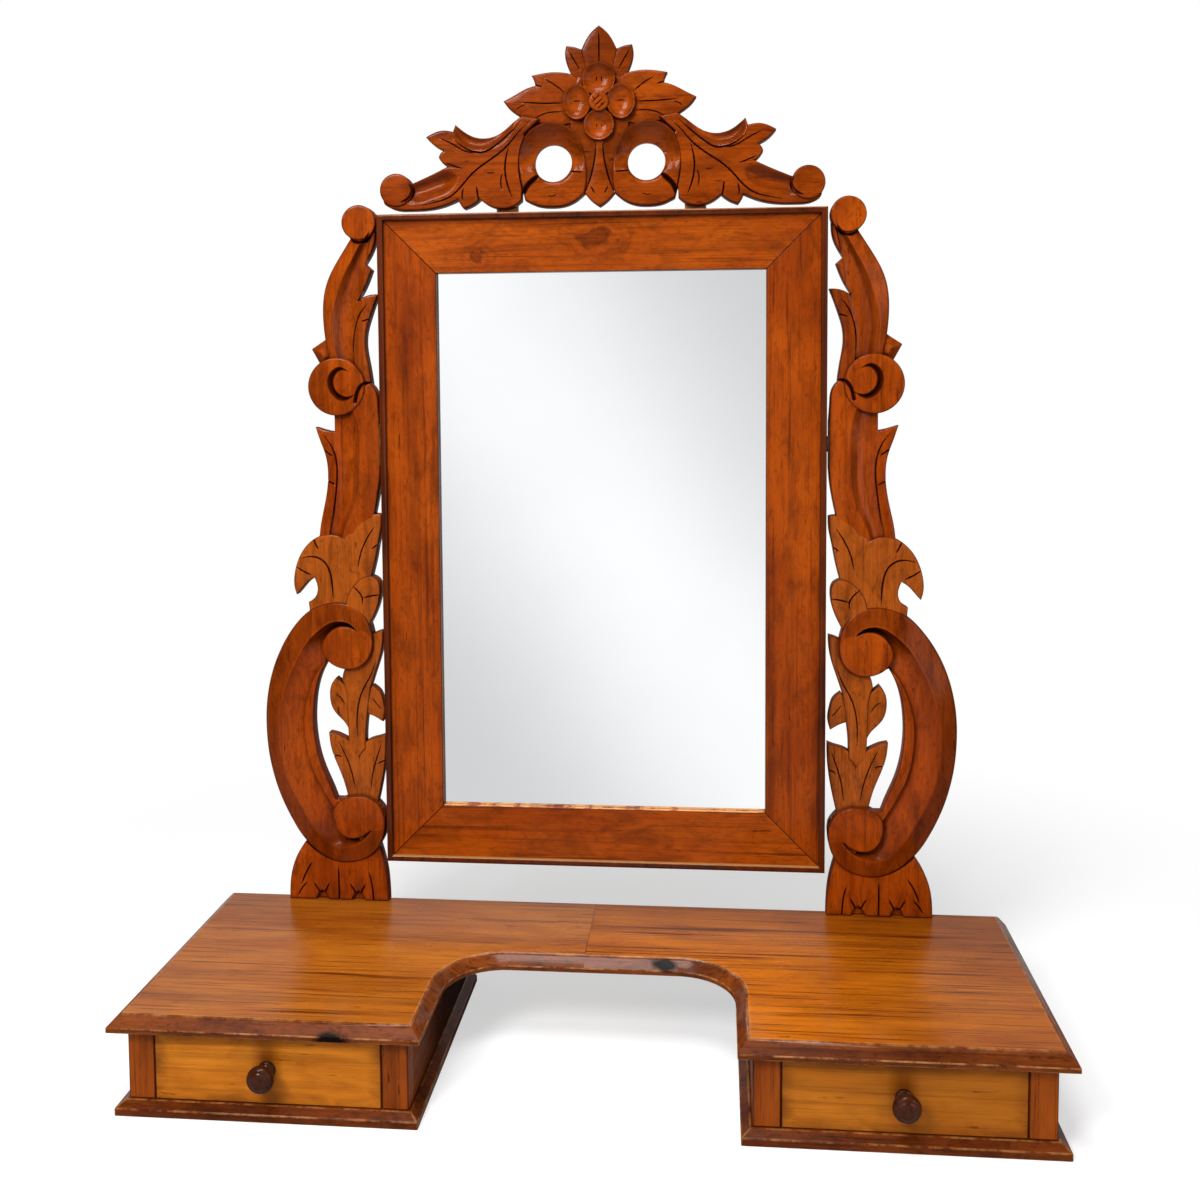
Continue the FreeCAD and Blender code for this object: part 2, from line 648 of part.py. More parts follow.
def make_bottom_board(name, side):
    """A board with a square lower edge and a sloping moulding above it on the front and the ends."""
    low = f"({BOX_INNER} - Sizes.bottom_board_overhang)"
    high = f"({BOX_OUTER} + Sizes.bottom_board_overhang)"
    inner, outer = outward(side, low, high)
    front = f"({BOX_FRONT} - Sizes.bottom_board_overhang)"
    square_top = f"({BOX_FLOOR} - Sizes.bottom_moulding_height)"
    square = board(f"bottom_square_{name}", (inner, outer), (front, BACK), ("0", square_top))
    slope = document.addObject("Part::Wedge", f"bottom_slope_{name}")
    slope.Placement.Rotation = Rotation(Vector(1, 0, 0), 90)
    run = "Sizes.bottom_moulding_run"
    bind(slope, {
        "Xmin": inner, "Xmax": outer, "X2min": f"{inner} + {run}", "X2max": f"{outer} - {run}",
        "Ymin": square_top, "Ymax": BOX_FLOOR,
        "Zmin": f"-({BACK})", "Zmax": f"-({front})", "Z2min": f"-({BACK})", "Z2max": f"-({front}) - {run}",
    })
    keep(fuse(f"bottom_fused_{name}", square, slope), f"bottom_board_{name}")


# One drawer: a lapped front, two sides, a back and a bottom held in grooves, with a turned knob
def make_drawer(name, side):
    inside_outer = f"({DRAWER_OUTER} - Sizes.drawer_side_thickness)"
    inside_inner = f"({DRAWER_INNER} + Sizes.drawer_side_thickness)"
    side_height = (DRAWER_LOW, DRAWER_SIDE_TOP)
    panel_low = f"({DRAWER_LOW} + Sizes.drawer_bottom_rise)"
    panel_top = f"({panel_low} + Sizes.drawer_bottom_thickness)"
    panel_x = (f"{inside_inner} - Sizes.groove_depth", f"{inside_outer} + Sizes.groove_depth")
    panel_front = f"({DRAWER_FRONT_BACK} - Sizes.groove_depth)"
    keep(board(f"drawer_panel_{name}", outward(side, *panel_x), (panel_front, DRAWER_BACK),
               (panel_low, panel_top)), f"drawer_bottom_{name}")
    groove = board(
        f"drawer_groove_{name}",
        outward(side, f"{panel_x[0]} - Sizes.fit_clearance", f"{panel_x[1]} + Sizes.fit_clearance"),
        (f"{panel_front} - Sizes.fit_clearance", f"{DRAWER_BACK} + Sizes.overrun"),
        (panel_low, f"{panel_top} + Sizes.fit_clearance"))
    knob_x = signed(side, DRAWER_MIDDLE)
    spigot_hole = rod(
        f"knob_hole_{name}", (knob_x, BOX_FRONT, KNOB_HEIGHT), Vector(0, 1, 0),
        "Sizes.knob_spigot_diameter / 2 + Sizes.fit_clearance",
        "Sizes.knob_spigot_length + Sizes.fit_clearance")
    profile = [
        (DRAWER_INNER, BOX_FRONT), (DRAWER_OUTER, BOX_FRONT), (DRAWER_OUTER, DRAWER_LAP),
        (inside_outer, DRAWER_LAP), (inside_outer, DRAWER_FRONT_BACK), (inside_inner, DRAWER_FRONT_BACK),
        (inside_inner, DRAWER_LAP), (DRAWER_INNER, DRAWER_LAP)]
    points = [(signed(side, x), y) for x, y in profile]
    height = f"{DRAWER_TOP} - {DRAWER_LOW}"
    front = padded_body(f"drawer_face_{name}", "XY_Plane", points, height, DRAWER_LOW)
    keep(cut(f"drawer_face_cut_{name}", front, [groove, spigot_hole]), f"drawer_front_{name}")
    walls = {"outer": (inside_outer, DRAWER_OUTER), "inner": (DRAWER_INNER, inside_inner)}
    for wall, limits in walls.items():
        x = outward(side, *limits)
        blank = board(f"drawer_wall_{wall}_{name}", x, (DRAWER_LAP, DRAWER_BACK), side_height)
        keep(cut(f"drawer_wall_cut_{wall}_{name}", blank, [groove]), f"drawer_{wall}_side_{name}")
    back_y = (f"{DRAWER_BACK} - Sizes.drawer_back_thickness", DRAWER_BACK)
    keep(board(f"drawer_rear_{name}", outward(side, inside_inner, inside_outer), back_y,
               (f"{panel_top} + Sizes.fit_clearance", DRAWER_SIDE_TOP)), f"drawer_back_{name}")
    make_knob(name, knob_x)


def make_knob(name, x):
    neck = "(Sizes.knob_neck_diameter / 2)"
    collar = "(Sizes.knob_collar_diameter / 2)"
    disc = "(Sizes.knob_diameter / 2)"
    spigot = "(Sizes.knob_spigot_diameter / 2)"
    disc_back = "(Sizes.knob_projection - Sizes.knob_thickness)"
    points = [
        ("0", "-Sizes.knob_spigot_length"), (spigot, "-Sizes.knob_spigot_length"), (spigot, "0"),
        (collar, "0"), (collar, "Sizes.knob_collar_height / 2"), (neck, "Sizes.knob_collar_height"),
        (neck, disc_back), (disc, disc_back),
        (disc, "Sizes.knob_projection"), ("0", "Sizes.knob_projection")]
    body = document.addObject("PartDesign::Body", f"knob_blank_{name}")
    turned = body.newObject("PartDesign::Revolution", f"knob_turned_{name}")
    sketch = outline_sketch(body, "XZ_Plane", points)
    turned.Profile = sketch
    turned.ReferenceAxis = (sketch, ["V_Axis"])
    document.recompute()
    tolerance = value("Sizes.fit_clearance")

    def is_rim(edge):
        box = edge.BoundBox
        return abs(box.XMax - value(disc)) < tolerance and box.ZLength < tolerance

    dress(body, "Fillet", edges_of(turned, is_rim), {"Radius": "Sizes.knob_round"})
    body.Placement.Rotation = Rotation(Vector(0, 0, 1), Vector(0, -1, 0))
    bind(body, {"Placement.Base.x": x, "Placement.Base.y": BOX_FRONT, "Placement.Base.z": KNOB_HEIGHT})
    keep(body, f"drawer_knob_{name}")


# The carved pieces: full-depth masses with smooth outlines, joined as one solid
def closed_wire(start, rows, place):
    """A closed wire from a start and rows of points, where each row is one smooth stroke or a line."""
    last = place(*start)
    edges = []
    for row in rows:
        points = [last] + [place(*share) for share in row]
        if len(points) == 2:
            curve = Part.LineSegment(*points)
        else:
            curve = Part.BSplineCurve()
            curve.interpolate(points)
        edges.append(curve.toShape())
        last = points[-1]
    return Part.Wire(edges)


def mass_solid(start, rows, place, depth):
    face = Part.Face(closed_wire(start, rows, place))
    return face.extrude(Vector(0, -depth, 0))


def disc_solid(centre, radius, place, depth):
    return Part.makeCylinder(radius, depth, place(*centre), Vector(0, -1, 0))


def joined(solids):
    return solids[0].multiFuse(solids[1:]).removeSplitter()


def make_support(name, side, holes):
    width, height = value("Sizes.support_width"), value("Sizes.support_height")
    thickness = value("Sizes.support_thickness")
    edge, back, foot = value(SUPPORT_EDGE), value(BACK), value(TOP_FACE)

    def place(across_share, up_share):
        return Vector(side * (edge + across_share * width), back, foot + up_share * height)

    solids = [mass_solid(start, rows, place, depth_share * thickness)
              for depth_share, start, rows in SUPPORT_MASS_SHARES.values()]
    solids += [disc_solid(centre, radius_share * width, place, depth_share * thickness)
               for depth_share, centre, radius_share in SUPPORT_DISC_SHARES.values()]
    carving = document.addObject("Part::Feature", f"support_carving_{name}")
    carving.Shape = joined(solids)
    keep(cut(f"support_cut_{name}", carving, holes), f"support_{name}")


def make_crest(holes):
    half, height = value(CREST_SIDE), value("Sizes.crest_height")
    thickness = value("Sizes.crest_thickness")
    back, bottom = value(FRAME_BACK), value(CREST_BOTTOM)

    def placer(side):
        def place(across_share, up_share):
            return Vector(side * across_share * half, back, bottom + up_share * height)
        return place

    solids = [mass_solid(start, rows, placer(1), depth_share * thickness)
              for depth_share, start, rows in CREST_MIDDLE_SHARES.values()]
    for side in map(sign_of, SIDES):
        solids += [mass_solid(start, rows, placer(side), depth_share * thickness)
                   for depth_share, start, rows in CREST_SIDE_SHARES.values()]
    solids += [disc_solid(centre, radius_share * half, placer(1), depth_share * thickness)
               for depth_share, centre, radius_share in CREST_DISC_SHARES.values()]
    eyes = [disc_solid(centre, radius_share * half, placer(1), thickness)
            for centre, radius_share in CREST_EYE_SHARES.values()]
    carving = document.addObject("Part::Feature", "crest_carving")
    carving.Shape = joined(solids).cut(eyes)
    keep(cut("crest_cut", carving, holes), "crest_panel")


# The tilt: a plate with a pin in each support, a socket plate in each stile and a friction washer
def plate_limits(side, face, into, spare):
    """The limits of a plate let in from a face, or of its housing with some spare room."""
    x = outward(side, face, f"{face} + Sizes.pivot_plate_thickness")
    if into < 0:
        x = outward(side, f"{face} - Sizes.pivot_plate_thickness", face)
    half_width = f"(Sizes.pivot_plate_width / 2 + {spare})"
    half_height = f"(Sizes.pivot_plate_height / 2 + {spare})"
    return (x, (f"{PIVOT_Y} - {half_width}", f"{PIVOT_Y} + {half_width}"),
            (f"{PIVOT_Z} - {half_height}", f"{PIVOT_Z} + {half_height}"))


def make_pivots():
    """Make the pivots of both sides, and return the housings and holes for supports and stiles."""
    plate_fixings, socket_fixings = [], []
    support_tools, stile_tools = {}, {}
    pin_radius = "(Sizes.pin_diameter / 2)"
    screw_heights = [f"({PIVOT_Z} {sign} Sizes.pivot_screw_spacing / 2)" for sign in "-+"]
    for name in SIDES:
        side = sign_of(name)
        outside, inside = Vector(side, 0, 0), Vector(-side, 0, 0)
        edge, stile = signed(side, SUPPORT_EDGE), signed(side, FRAME_SIDE)
        fixings, holes = screws_and_holes(
            f"plate_screw_{name}", [(edge, PIVOT_Y, z) for z in screw_heights],
            outside, "Sizes.pivot_screw_length")
        plate_fixings += fixings
        plate = board(f"pivot_plate_blank_{name}", *plate_limits(side, SUPPORT_EDGE, 1, "0"))
        drilled = cut(f"pivot_plate_drilled_{name}", plate, holes)
        pin = rod(f"pivot_pin_{name}", (edge, PIVOT_Y, PIVOT_Z), inside, pin_radius,
                  "Sizes.support_gap + Sizes.pin_reach")
        keep(fuse(f"pivot_plate_fused_{name}", drilled, pin), f"pivot_plate_{name}")
        housing = board(f"plate_housing_{name}", *plate_limits(side, SUPPORT_EDGE, 1, "Sizes.fit_clearance"))
        support_tools[name] = [fuse(f"plate_seat_{name}_{i}", hole, housing) for i, hole in enumerate(holes)]

        sockets, socket_holes = screws_and_holes(
            f"socket_screw_{name}", [(stile, PIVOT_Y, z) for z in screw_heights],
            inside, "Sizes.pivot_screw_length")
        socket_fixings += sockets
        socket = board(f"socket_plate_blank_{name}", *plate_limits(side, FRAME_SIDE, -1, "0"))
        eye = rod(f"socket_eye_{name}", (stile, PIVOT_Y, PIVOT_Z), inside,
                  f"{pin_radius} + Sizes.running_clearance", "Sizes.pivot_plate_thickness")
        keep(cut(f"socket_plate_cut_{name}", socket, socket_holes + [eye]), f"socket_plate_{name}")
        seat = board(f"socket_housing_{name}", *plate_limits(side, FRAME_SIDE, -1, "Sizes.fit_clearance"))
        bore = rod(f"pin_bore_{name}", (stile, PIVOT_Y, PIVOT_Z), inside,
                   f"{pin_radius} + Sizes.pin_bore_spare", "Sizes.pin_reach + Sizes.pin_bore_spare")
        stile_tools[name] = [fuse(f"socket_seat_{name}_{i}", tool, seat)
                             for i, tool in enumerate(socket_holes + [bore])]

        ring = rod(f"washer_disc_{name}", (edge, PIVOT_Y, PIVOT_Z), inside, "Sizes.washer_diameter / 2",
                   "Sizes.support_gap - Sizes.washer_clearance")
        middle = rod(f"washer_eye_{name}", (edge, PIVOT_Y, PIVOT_Z), inside,
                     f"{pin_radius} + Sizes.fit_clearance", "Sizes.support_gap")
        keep(cut(f"washer_cut_{name}", ring, [middle]), f"pivot_washer_{name}")
    keep(group("plate_screw_set", plate_fixings), "pivot_plate_screws")
    keep(group("socket_screw_set", socket_fixings), "socket_plate_screws")
    return support_tools, stile_tools


# The looking glass: mitred members with a rebate, a mitred bead, the glass, its backing and its pins
def mitred_points(member, width):
    """The corners of a mitred member of the frame, from the outer edge inward by a width."""
    left, right = f"(-{FRAME_SIDE})", FRAME_SIDE
    inner_left, inner_right = f"({left} + {width})", f"({right} - {width})"
    inner_bottom, inner_top = f"({FRAME_BOTTOM} + {width})", f"({FRAME_TOP} - {width})"
    return {
        "top": [(left, FRAME_TOP), (right, FRAME_TOP), (inner_right, inner_top), (inner_left, inner_top)],
        "bottom": [(left, FRAME_BOTTOM), (right, FRAME_BOTTOM), (inner_right, inner_bottom),
                   (inner_left, inner_bottom)],
        "left": [(left, FRAME_BOTTOM), (left, FRAME_TOP), (inner_left, inner_top),
                 (inner_left, inner_bottom)],
        "right": [(right, FRAME_BOTTOM), (right, FRAME_TOP), (inner_right, inner_top),
                  (inner_right, inner_bottom)],
    }[member]


def backing_pin_places():
    """Where each small pin goes in, by member, with the way that it is driven."""
    rebate_side = f"({SIGHT_SIDE} + Sizes.rebate_width - Sizes.backing_pin_grip)"
    rebate_top = f"({SIGHT_TOP} + Sizes.rebate_width - Sizes.backing_pin_grip)"
    rebate_bottom = f"({SIGHT_BOTTOM} - Sizes.rebate_width + Sizes.backing_pin_grip)"
    y = f"({BACKING_BACK} + Sizes.backing_pin_diameter / 2)"
    along = [f"({SIGHT_BOTTOM} + ({SIGHT_TOP} - {SIGHT_BOTTOM}) * {i} / 4)" for i in (1, 3)]
    across = [f"(-{SIGHT_SIDE} + 2 * {SIGHT_SIDE} * {i} / 4)" for i in (1, 3)]
    return {
        "left": ([(f"-{rebate_side}", y, z) for z in along], Vector(-1, 0, 0)),
        "right": ([(rebate_side, y, z) for z in along], Vector(1, 0, 0)),
        "top": ([(x, y, rebate_top) for x in across], Vector(0, 0, 1)),
        "bottom": ([(x, y, rebate_bottom) for x in across], Vector(0, 0, -1)),
    }


def make_frame(member_tools):
    """Make the frame, cutting from each member the tools given for it."""
    names = {"top": "top_rail", "bottom": "bottom_rail", "left": "left_stile", "right": "right_stile"}
    glass_x = (f"-({SIGHT_SIDE} + Sizes.rebate_width - Sizes.fit_clearance)",
               f"{SIGHT_SIDE} + Sizes.rebate_width - Sizes.fit_clearance")
    glass_z = (f"{SIGHT_BOTTOM} - Sizes.rebate_width + Sizes.fit_clearance",
               f"{SIGHT_TOP} + Sizes.rebate_width - Sizes.fit_clearance")
    rebate = board(
        "rebate",
        (f"-({SIGHT_SIDE} + Sizes.rebate_width)", f"{SIGHT_SIDE} + Sizes.rebate_width"),
        (GLASS_FRONT, f"{FRAME_BACK} + Sizes.overrun"),
        (f"{SIGHT_BOTTOM} - Sizes.rebate_width", f"{SIGHT_TOP} + Sizes.rebate_width"))
    pins = []
    for member, (places, way) in backing_pin_places().items():
        radius, length = "Sizes.backing_pin_diameter / 2", "Sizes.backing_pin_length"
        pins += [rod(f"backing_pin_{member}_{i}", place, way, radius, length)
                 for i, place in enumerate(places)]
        holes = [rod(f"pin_hole_{member}_{i}", place, way, f"{radius} + Sizes.running_clearance",
                     f"{length} + Sizes.fit_clearance") for i, place in enumerate(places)]
        points = mitred_points(member, "Sizes.frame_member_width")
        blank = padded_body(
            f"member_{member}", "XZ_Plane", points, "Sizes.frame_thickness", f"-({FRAME_BACK})")
        rebated = cut(f"member_rebated_{member}", blank, [rebate])
        keep(cut(f"member_cut_{member}", rebated, holes + member_tools.get(member, [])), names[member])
        make_bead(member)
    keep(group("backing_pin_set", pins), "backing_pins")
    keep(board("glass_sheet", glass_x, (GLASS_FRONT, GLASS_BACK), glass_z), "mirror_glass")
    keep(board("backing_sheet", glass_x, (GLASS_BACK, BACKING_BACK), glass_z), "backing_board")


def make_bead(member):
    body = padded_body(f"bead_blank_{member}", "XZ_Plane", mitred_points(member, "Sizes.bead_width"),
                       "Sizes.bead_height", f"-({FRAME_FRONT})")
    face = f"{FRAME_FRONT} - Sizes.bead_height"
    longest = value("Sizes.bead_width") * 2
    arrises = edges_of(body.Tip, lambda edge: lies_on(edge, "Y", face) and edge.Length > longest)
    dress(body, "Fillet", arrises, {"Radius": "Sizes.bead_round"})
    keep(body, f"bead_{member}")


def make_crest_battens():
    """Make the two battens behind the crest, and return the screw holes for the crest and the top rail."""
    fixings, crest_holes, rail_holes = [], [], []
    back = f"({FRAME_BACK} + Sizes.crest_batten_thickness)"
    forward = Vector(0, -1, 0)
    for name in SIDES:
        x = signed(sign_of(name), "Sizes.crest_batten_spacing / 2")
        heights = {
            "crest": (CREST_BOTTOM, "+"),
            "rail": (FRAME_TOP, "-"),
        }
        holes = {}
        for part, (edge, sign) in heights.items():
            places = [(x, back, f"{edge} {sign} Sizes.crest_screw_inset"),
                      (x, back, f"{edge} {sign} Sizes.crest_screw_inset {sign} Sizes.crest_screw_spacing")]
            screws, holes[part] = screws_and_holes(
                f"crest_screw_{part}_{name}", places, forward,
                "(Sizes.crest_batten_thickness + Sizes.crest_screw_bite)")
            fixings += screws
        crest_holes += holes["crest"]
        rail_holes += holes["rail"]
        half = "Sizes.crest_batten_width / 2"
        batten = board(
            f"crest_batten_blank_{name}", (f"{x} - {half}", f"{x} + {half}"), (FRAME_BACK, back),
            (f"{FRAME_TOP} - Sizes.crest_batten_down", f"{CREST_BOTTOM} + Sizes.crest_batten_up"))
        keep(cut(f"crest_batten_cut_{name}", batten, holes["crest"] + holes["rail"]), f"crest_batten_{name}")
    keep(group("crest_screw_set", fixings), "crest_screws")
    return crest_holes, rail_holes


foot_holes = make_top()
support_tools, stile_tools = make_pivots()
for side_name in SIDES:
    make_box(side_name, sign_of(side_name))
    make_drawer(side_name, sign_of(side_name))
    make_support(side_name, sign_of(side_name), foot_holes[side_name] + support_tools[side_name])
crest_holes, rail_holes = make_crest_battens()
make_frame({"top": rail_holes, "left": stile_tools["left"], "right": stile_tools["right"]})
make_crest(crest_holes)
document.recompute()

failed = [thing.Label for thing in document.Objects if {"Invalid", "Error"} & set(thing.State)]
failed += [piece.Label for piece in nodes if piece.Shape.isNull() or not piece.Shape.isValid()]
if failed:
    raise RuntimeError("these did not build: " + ", ".join(failed))

os.makedirs("parts", exist_ok=True)
for piece in nodes:
    piece.Shape.exportStep(f"parts/{piece.Label}.step")
print(len(nodes), "pieces written")
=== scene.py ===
# %% [markdown]
# A dressing table mirror: a framed looking glass with a carved crest tilts between two carved scroll
# supports, on a moulded base with two small drawers. The construction is a finished model, loaded as a
# fixed frame in metres. This lesson adds what makes the object real: eased and worn edges, carving with
# hollows and veins, polished wood, turned knobs and a silvered glass.

# %% Load the frame
import json
import math
from types import SimpleNamespace

import bmesh
import bpy
import numpy as np
from mathutils import Euler, Matrix, Vector
from mathutils.geometry import delaunay_2d_cdt
from mathutils.kdtree import KDTree

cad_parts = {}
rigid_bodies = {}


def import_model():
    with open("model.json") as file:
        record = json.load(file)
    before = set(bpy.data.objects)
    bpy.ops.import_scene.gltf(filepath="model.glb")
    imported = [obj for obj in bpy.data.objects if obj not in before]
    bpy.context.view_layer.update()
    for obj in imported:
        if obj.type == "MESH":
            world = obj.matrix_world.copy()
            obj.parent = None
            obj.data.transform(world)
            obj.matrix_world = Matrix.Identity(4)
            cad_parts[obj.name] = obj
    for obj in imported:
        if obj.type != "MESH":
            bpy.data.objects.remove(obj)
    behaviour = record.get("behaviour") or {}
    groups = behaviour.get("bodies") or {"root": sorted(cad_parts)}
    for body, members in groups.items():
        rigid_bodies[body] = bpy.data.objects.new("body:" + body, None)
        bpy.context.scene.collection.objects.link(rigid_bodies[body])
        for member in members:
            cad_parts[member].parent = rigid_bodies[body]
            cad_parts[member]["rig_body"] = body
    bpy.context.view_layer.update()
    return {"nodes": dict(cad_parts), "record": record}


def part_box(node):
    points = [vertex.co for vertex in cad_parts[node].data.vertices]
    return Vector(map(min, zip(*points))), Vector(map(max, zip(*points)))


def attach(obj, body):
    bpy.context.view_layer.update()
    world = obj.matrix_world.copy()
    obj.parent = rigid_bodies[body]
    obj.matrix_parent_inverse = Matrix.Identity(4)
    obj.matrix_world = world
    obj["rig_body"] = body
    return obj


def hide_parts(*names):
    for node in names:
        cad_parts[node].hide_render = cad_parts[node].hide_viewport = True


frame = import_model()
mm = 0.001

# %% [markdown]
# The camera stands where the photographer stood: a little to the right of the middle, at about two thirds
# of the height, looking slightly down. Tilting a camera makes upright edges lean, so the lens is shifted
# down instead for most of the way. Its place was found by matching the edges of the base and the frame.

# %% Camera
camera_place = Vector((119.5, -1184.4, 651.0)) * mm
camera_turn = [math.radians(angle) for angle in (86.211, 0.367, 5.223)]
camera_data = bpy.data.cameras.new("camera")
camera_data.sensor_width = 36
camera_data.lens = 38.136
camera_data.shift_y = -0.1126
camera_data.clip_start = 10 * mm
camera = bpy.data.objects.new("camera", camera_data)
bpy.context.scene.collection.objects.link(camera)
camera.location = camera_place
camera.rotation_euler = Euler(camera_turn)
bpy.context.scene.camera = camera
bpy.context.scene.view_settings.view_transform = "Standard"
print("camera at", tuple(round(part, 3) for part in camera.location))

# %% [markdown]
# A node tree is easier to read as a few lines of words than as a picture with many wires. These helpers
# add one node and feed its inputs in one call: a number or a colour sets the socket, and another node's
# output is linked to it.

# %% Node helpers
def feed(tree, socket, given):
    """Link another node's output to a socket, or set the socket to a value."""
    if isinstance(given, bpy.types.NodeSocket):
        tree.links.new(given, socket)
    else:
        socket.default_value = given


def add_node(tree, kind, inputs=None, **settings):
    """Add a shader node, set its options and feed its inputs."""
    node = tree.nodes.new("ShaderNode" + kind)
    for name, setting in settings.items():
        setattr(node, name, setting)
    for key, given in (inputs or {}).items():
        feed(tree, node.inputs[key], given)
    return node


def maths(tree, operation, *values):
    """The result of one sum on values or outputs."""
    return add_node(tree, "Math", dict(enumerate(values)), operation=operation).outputs[0]


def times(tree, first, second):
    """The product of two values."""
    return maths(tree, "MULTIPLY", first, second)


def vector_maths(tree, operation, *vectors, result="Vector"):
    """The result of one sum on vectors, which is a vector or a value."""
    return add_node(tree, "VectorMath", dict(enumerate(vectors)), operation=operation).outputs[result]


def ramp(tree, factor, low, high, start=0.0, end=1.0, curve="LINEAR"):
    """Stretch the part of a factor between two values to 0 to 1, or to another start and end."""
    inputs = {"Value": factor, "From Min": low, "From Max": high, "To Min": start, "To Max": end}
    return add_node(tree, "MapRange", inputs, interpolation_type=curve).outputs["Result"]


def mix_colour(tree, factor, first, second):
    """Mix two colours by a factor."""
    return add_node(tree, "Mix", {0: factor, 6: first, 7: second}, data_type="RGBA").outputs[2]


print("node helpers ready")

# %% Material helpers
def new_material(name):
    """A new material with its node tree and its shader."""
    material = bpy.data.materials.new(name)
    material.use_nodes = True
    tree = material.node_tree
    return material, tree, tree.nodes["Principled BSDF"]


def object_place(tree):
    """The place of a point in the object's own coordinates."""
    return add_node(tree, "TexCoord").outputs["Object"]


def marks_on(tree, name):
    """The marks that a mesh carries under a name, which are 0 where it has none."""
    return add_node(tree, "Attribute", attribute_name=name).outputs["Fac"]


def noise(tree, source, scale, detail, rough=0.55, distort=0.0):
    """Noise that is stretched by a scale along each axis."""
    stretched = add_node(tree, "Mapping", {"Vector": source, "Scale": scale}).outputs["Vector"]
    return add_node(tree, "TexNoise", {
        "Vector": stretched, "Scale": 1.0, "Detail": detail, "Roughness": rough, "Distortion": distort,
    }).outputs["Fac"]


print("material helpers ready")

# %% [markdown]
# Old softwood under shellac is not one brown. Honey and red-brown patches change over a hand's width, dark
# lines run along the grain, and fine pores run between them. A painted picture of wood would repeat on
# every board, so the grain is noise instead, stretched along one axis. A board then only has to say which
# way it was sawn. Each layer of noise darkens the wood in its own rhythm, from the broadest to the finest.

# %% Grain of the wood
PALE_WOOD = (0.35, 0.079, 0.008, 1)
GRAIN_TURNS = {"X": (0, 0, 0), "Y": (0, 0, math.pi / 2), "Z": (0, math.pi / 2, 0)}

# Layers of noise: the scale along and across the grain, the detail, the roughness and the distortion.
GRAIN_LAYERS = {
    "patches": ((6, 18, 18), 3, 0.55, 0.8),
    "blotches": ((22, 60, 60), 4, 0.6, 0.5),
    "curls": ((60, 150, 150), 5, 0.65, 1.6),
    "bands": ((2.2, 70, 70), 5, 0.62, "wave"),
    "lines": ((3.2, 190, 190), 4, 0.62, "wave"),
    "fine_lines": ((7, 560, 560), 3, 0.6, "wave"),
    "pores": ((70, 1600, 1600), 2, 0.55, 0.0),
    "specks": ((28, 240, 240), 3, 0.7, 0.0),
    "smears": ((14, 30, 30), 3, 0.6, 0.4),
}

# What darkens the wood: the layer, where it begins, where it is full, and its strength's name in a look.
DARK_LAYERS = [
    ("blotches", 0.46, 0.72, "cloud"),
    ("curls", 0.5, 0.68, "mottle"),
    ("bands", 0.5, 0.72, "band"),
    ("lines", 0.57, 0.66, "streak"),
    ("fine_lines", 0.54, 0.66, "fine"),
    ("pores", 0.55, 0.8, "pore"),
    ("specks", 0.66, 0.72, "speck"),
]


def tint(work, factor, amount, towards=None):
    """Draw the colour so far towards another one, which is the dark of the grain if none is given."""
    work.colour = mix_colour(work.tree, times(work.tree, factor, amount), work.colour, towards or work.dark)


def sawn_grain(work, grain, middle, light):
    """Give a wood its grain: patches of two tones under darker bands, lines and pores."""
    turned = add_node(work.tree, "Mapping", {
        "Vector": work.place, "Location": [work.look["shift"]] * 3, "Rotation": GRAIN_TURNS[grain],
    }).outputs["Vector"]
    for layer, (scale, detail, rough, distort) in GRAIN_LAYERS.items():
        sway = work.look["wave"] if distort == "wave" else distort
        work.layers[layer] = noise(work.tree, turned, scale, detail, rough, sway)
    work.colour = mix_colour(work.tree, ramp(work.tree, work.layers["patches"], 0.32, 0.68), middle, light)
    tint(work, marks_on(work.tree, "pale"), 0.8, PALE_WOOD)
    for layer, begins, full, strength in DARK_LAYERS:
        tint(work, ramp(work.tree, work.layers[layer], begins, full), work.look[strength])


print("grain of", len(GRAIN_LAYERS), "layers")

# %% [markdown]
# Some boards have more to tell. A knot is a dark spot with rings round it, and shades are slow changes of
# tone along an axis; on the top and on the inner sides of the boxes they are painted shade. The drawer
# fronts are darker along their rims and round their knobs, which is grime together with the painted shadow
# of the overhanging top and of the knob. These could be drawn on a picture of the board, but a distance
# from a spot or from an edge gives them with no picture.

# %% Knots, shades, and grimy rims with painted shadow
# The width of the dark rim and the reach of the knob's smear: grime with painted shadow.
RIM_GRIME_AND_SHADOW_WIDTH = 13 * mm
KNOB_SMEAR_AND_SHADOW_ACROSS = (15 * mm, 3 * mm)
KNOB_SMEAR_AND_SHADOW_UP = (38 * mm, 10 * mm)


def distance(tree, place, spot, squeeze):
    """How far a place is from a spot, with the axes squeezed so that it can be an oval."""
    offset = vector_maths(tree, "SUBTRACT", place, spot)
    return vector_maths(tree, "LENGTH", vector_maths(tree, "MULTIPLY", offset, squeeze), result="Value")


def add_knots(work):
    """Add dark knots with swirled rings round them."""
    tree = work.tree
    for spot, radius in work.look["knots"]:
        swirl = noise(tree, work.place, (30, 30, 30), 3, 0.6, 1.5)
        away = distance(tree, work.place, spot, (0.6, 1, 1))
        away = maths(tree, "ADD", away, times(tree, swirl, 2.2 * radius))
        rings = maths(tree, "SINE", times(tree, away, 11 / radius))
        near = ramp(tree, away, 2.6 * radius, 1.3 * radius)
        tint(work, times(tree, near, ramp(tree, rings, -0.2, 1)), 0.45)
        tint(work, ramp(tree, away, 1.5 * radius, 1.1 * radius), 0.5)


def add_shades(work):
    """Add slow changes of tone along an axis, which on the top and the inner sides of the boxes are painted
    shade.
    """
    for axis, start, end, amount in work.look["shades"]:
        tint(work, ramp(work.tree, work.apart[axis], start, end), amount)


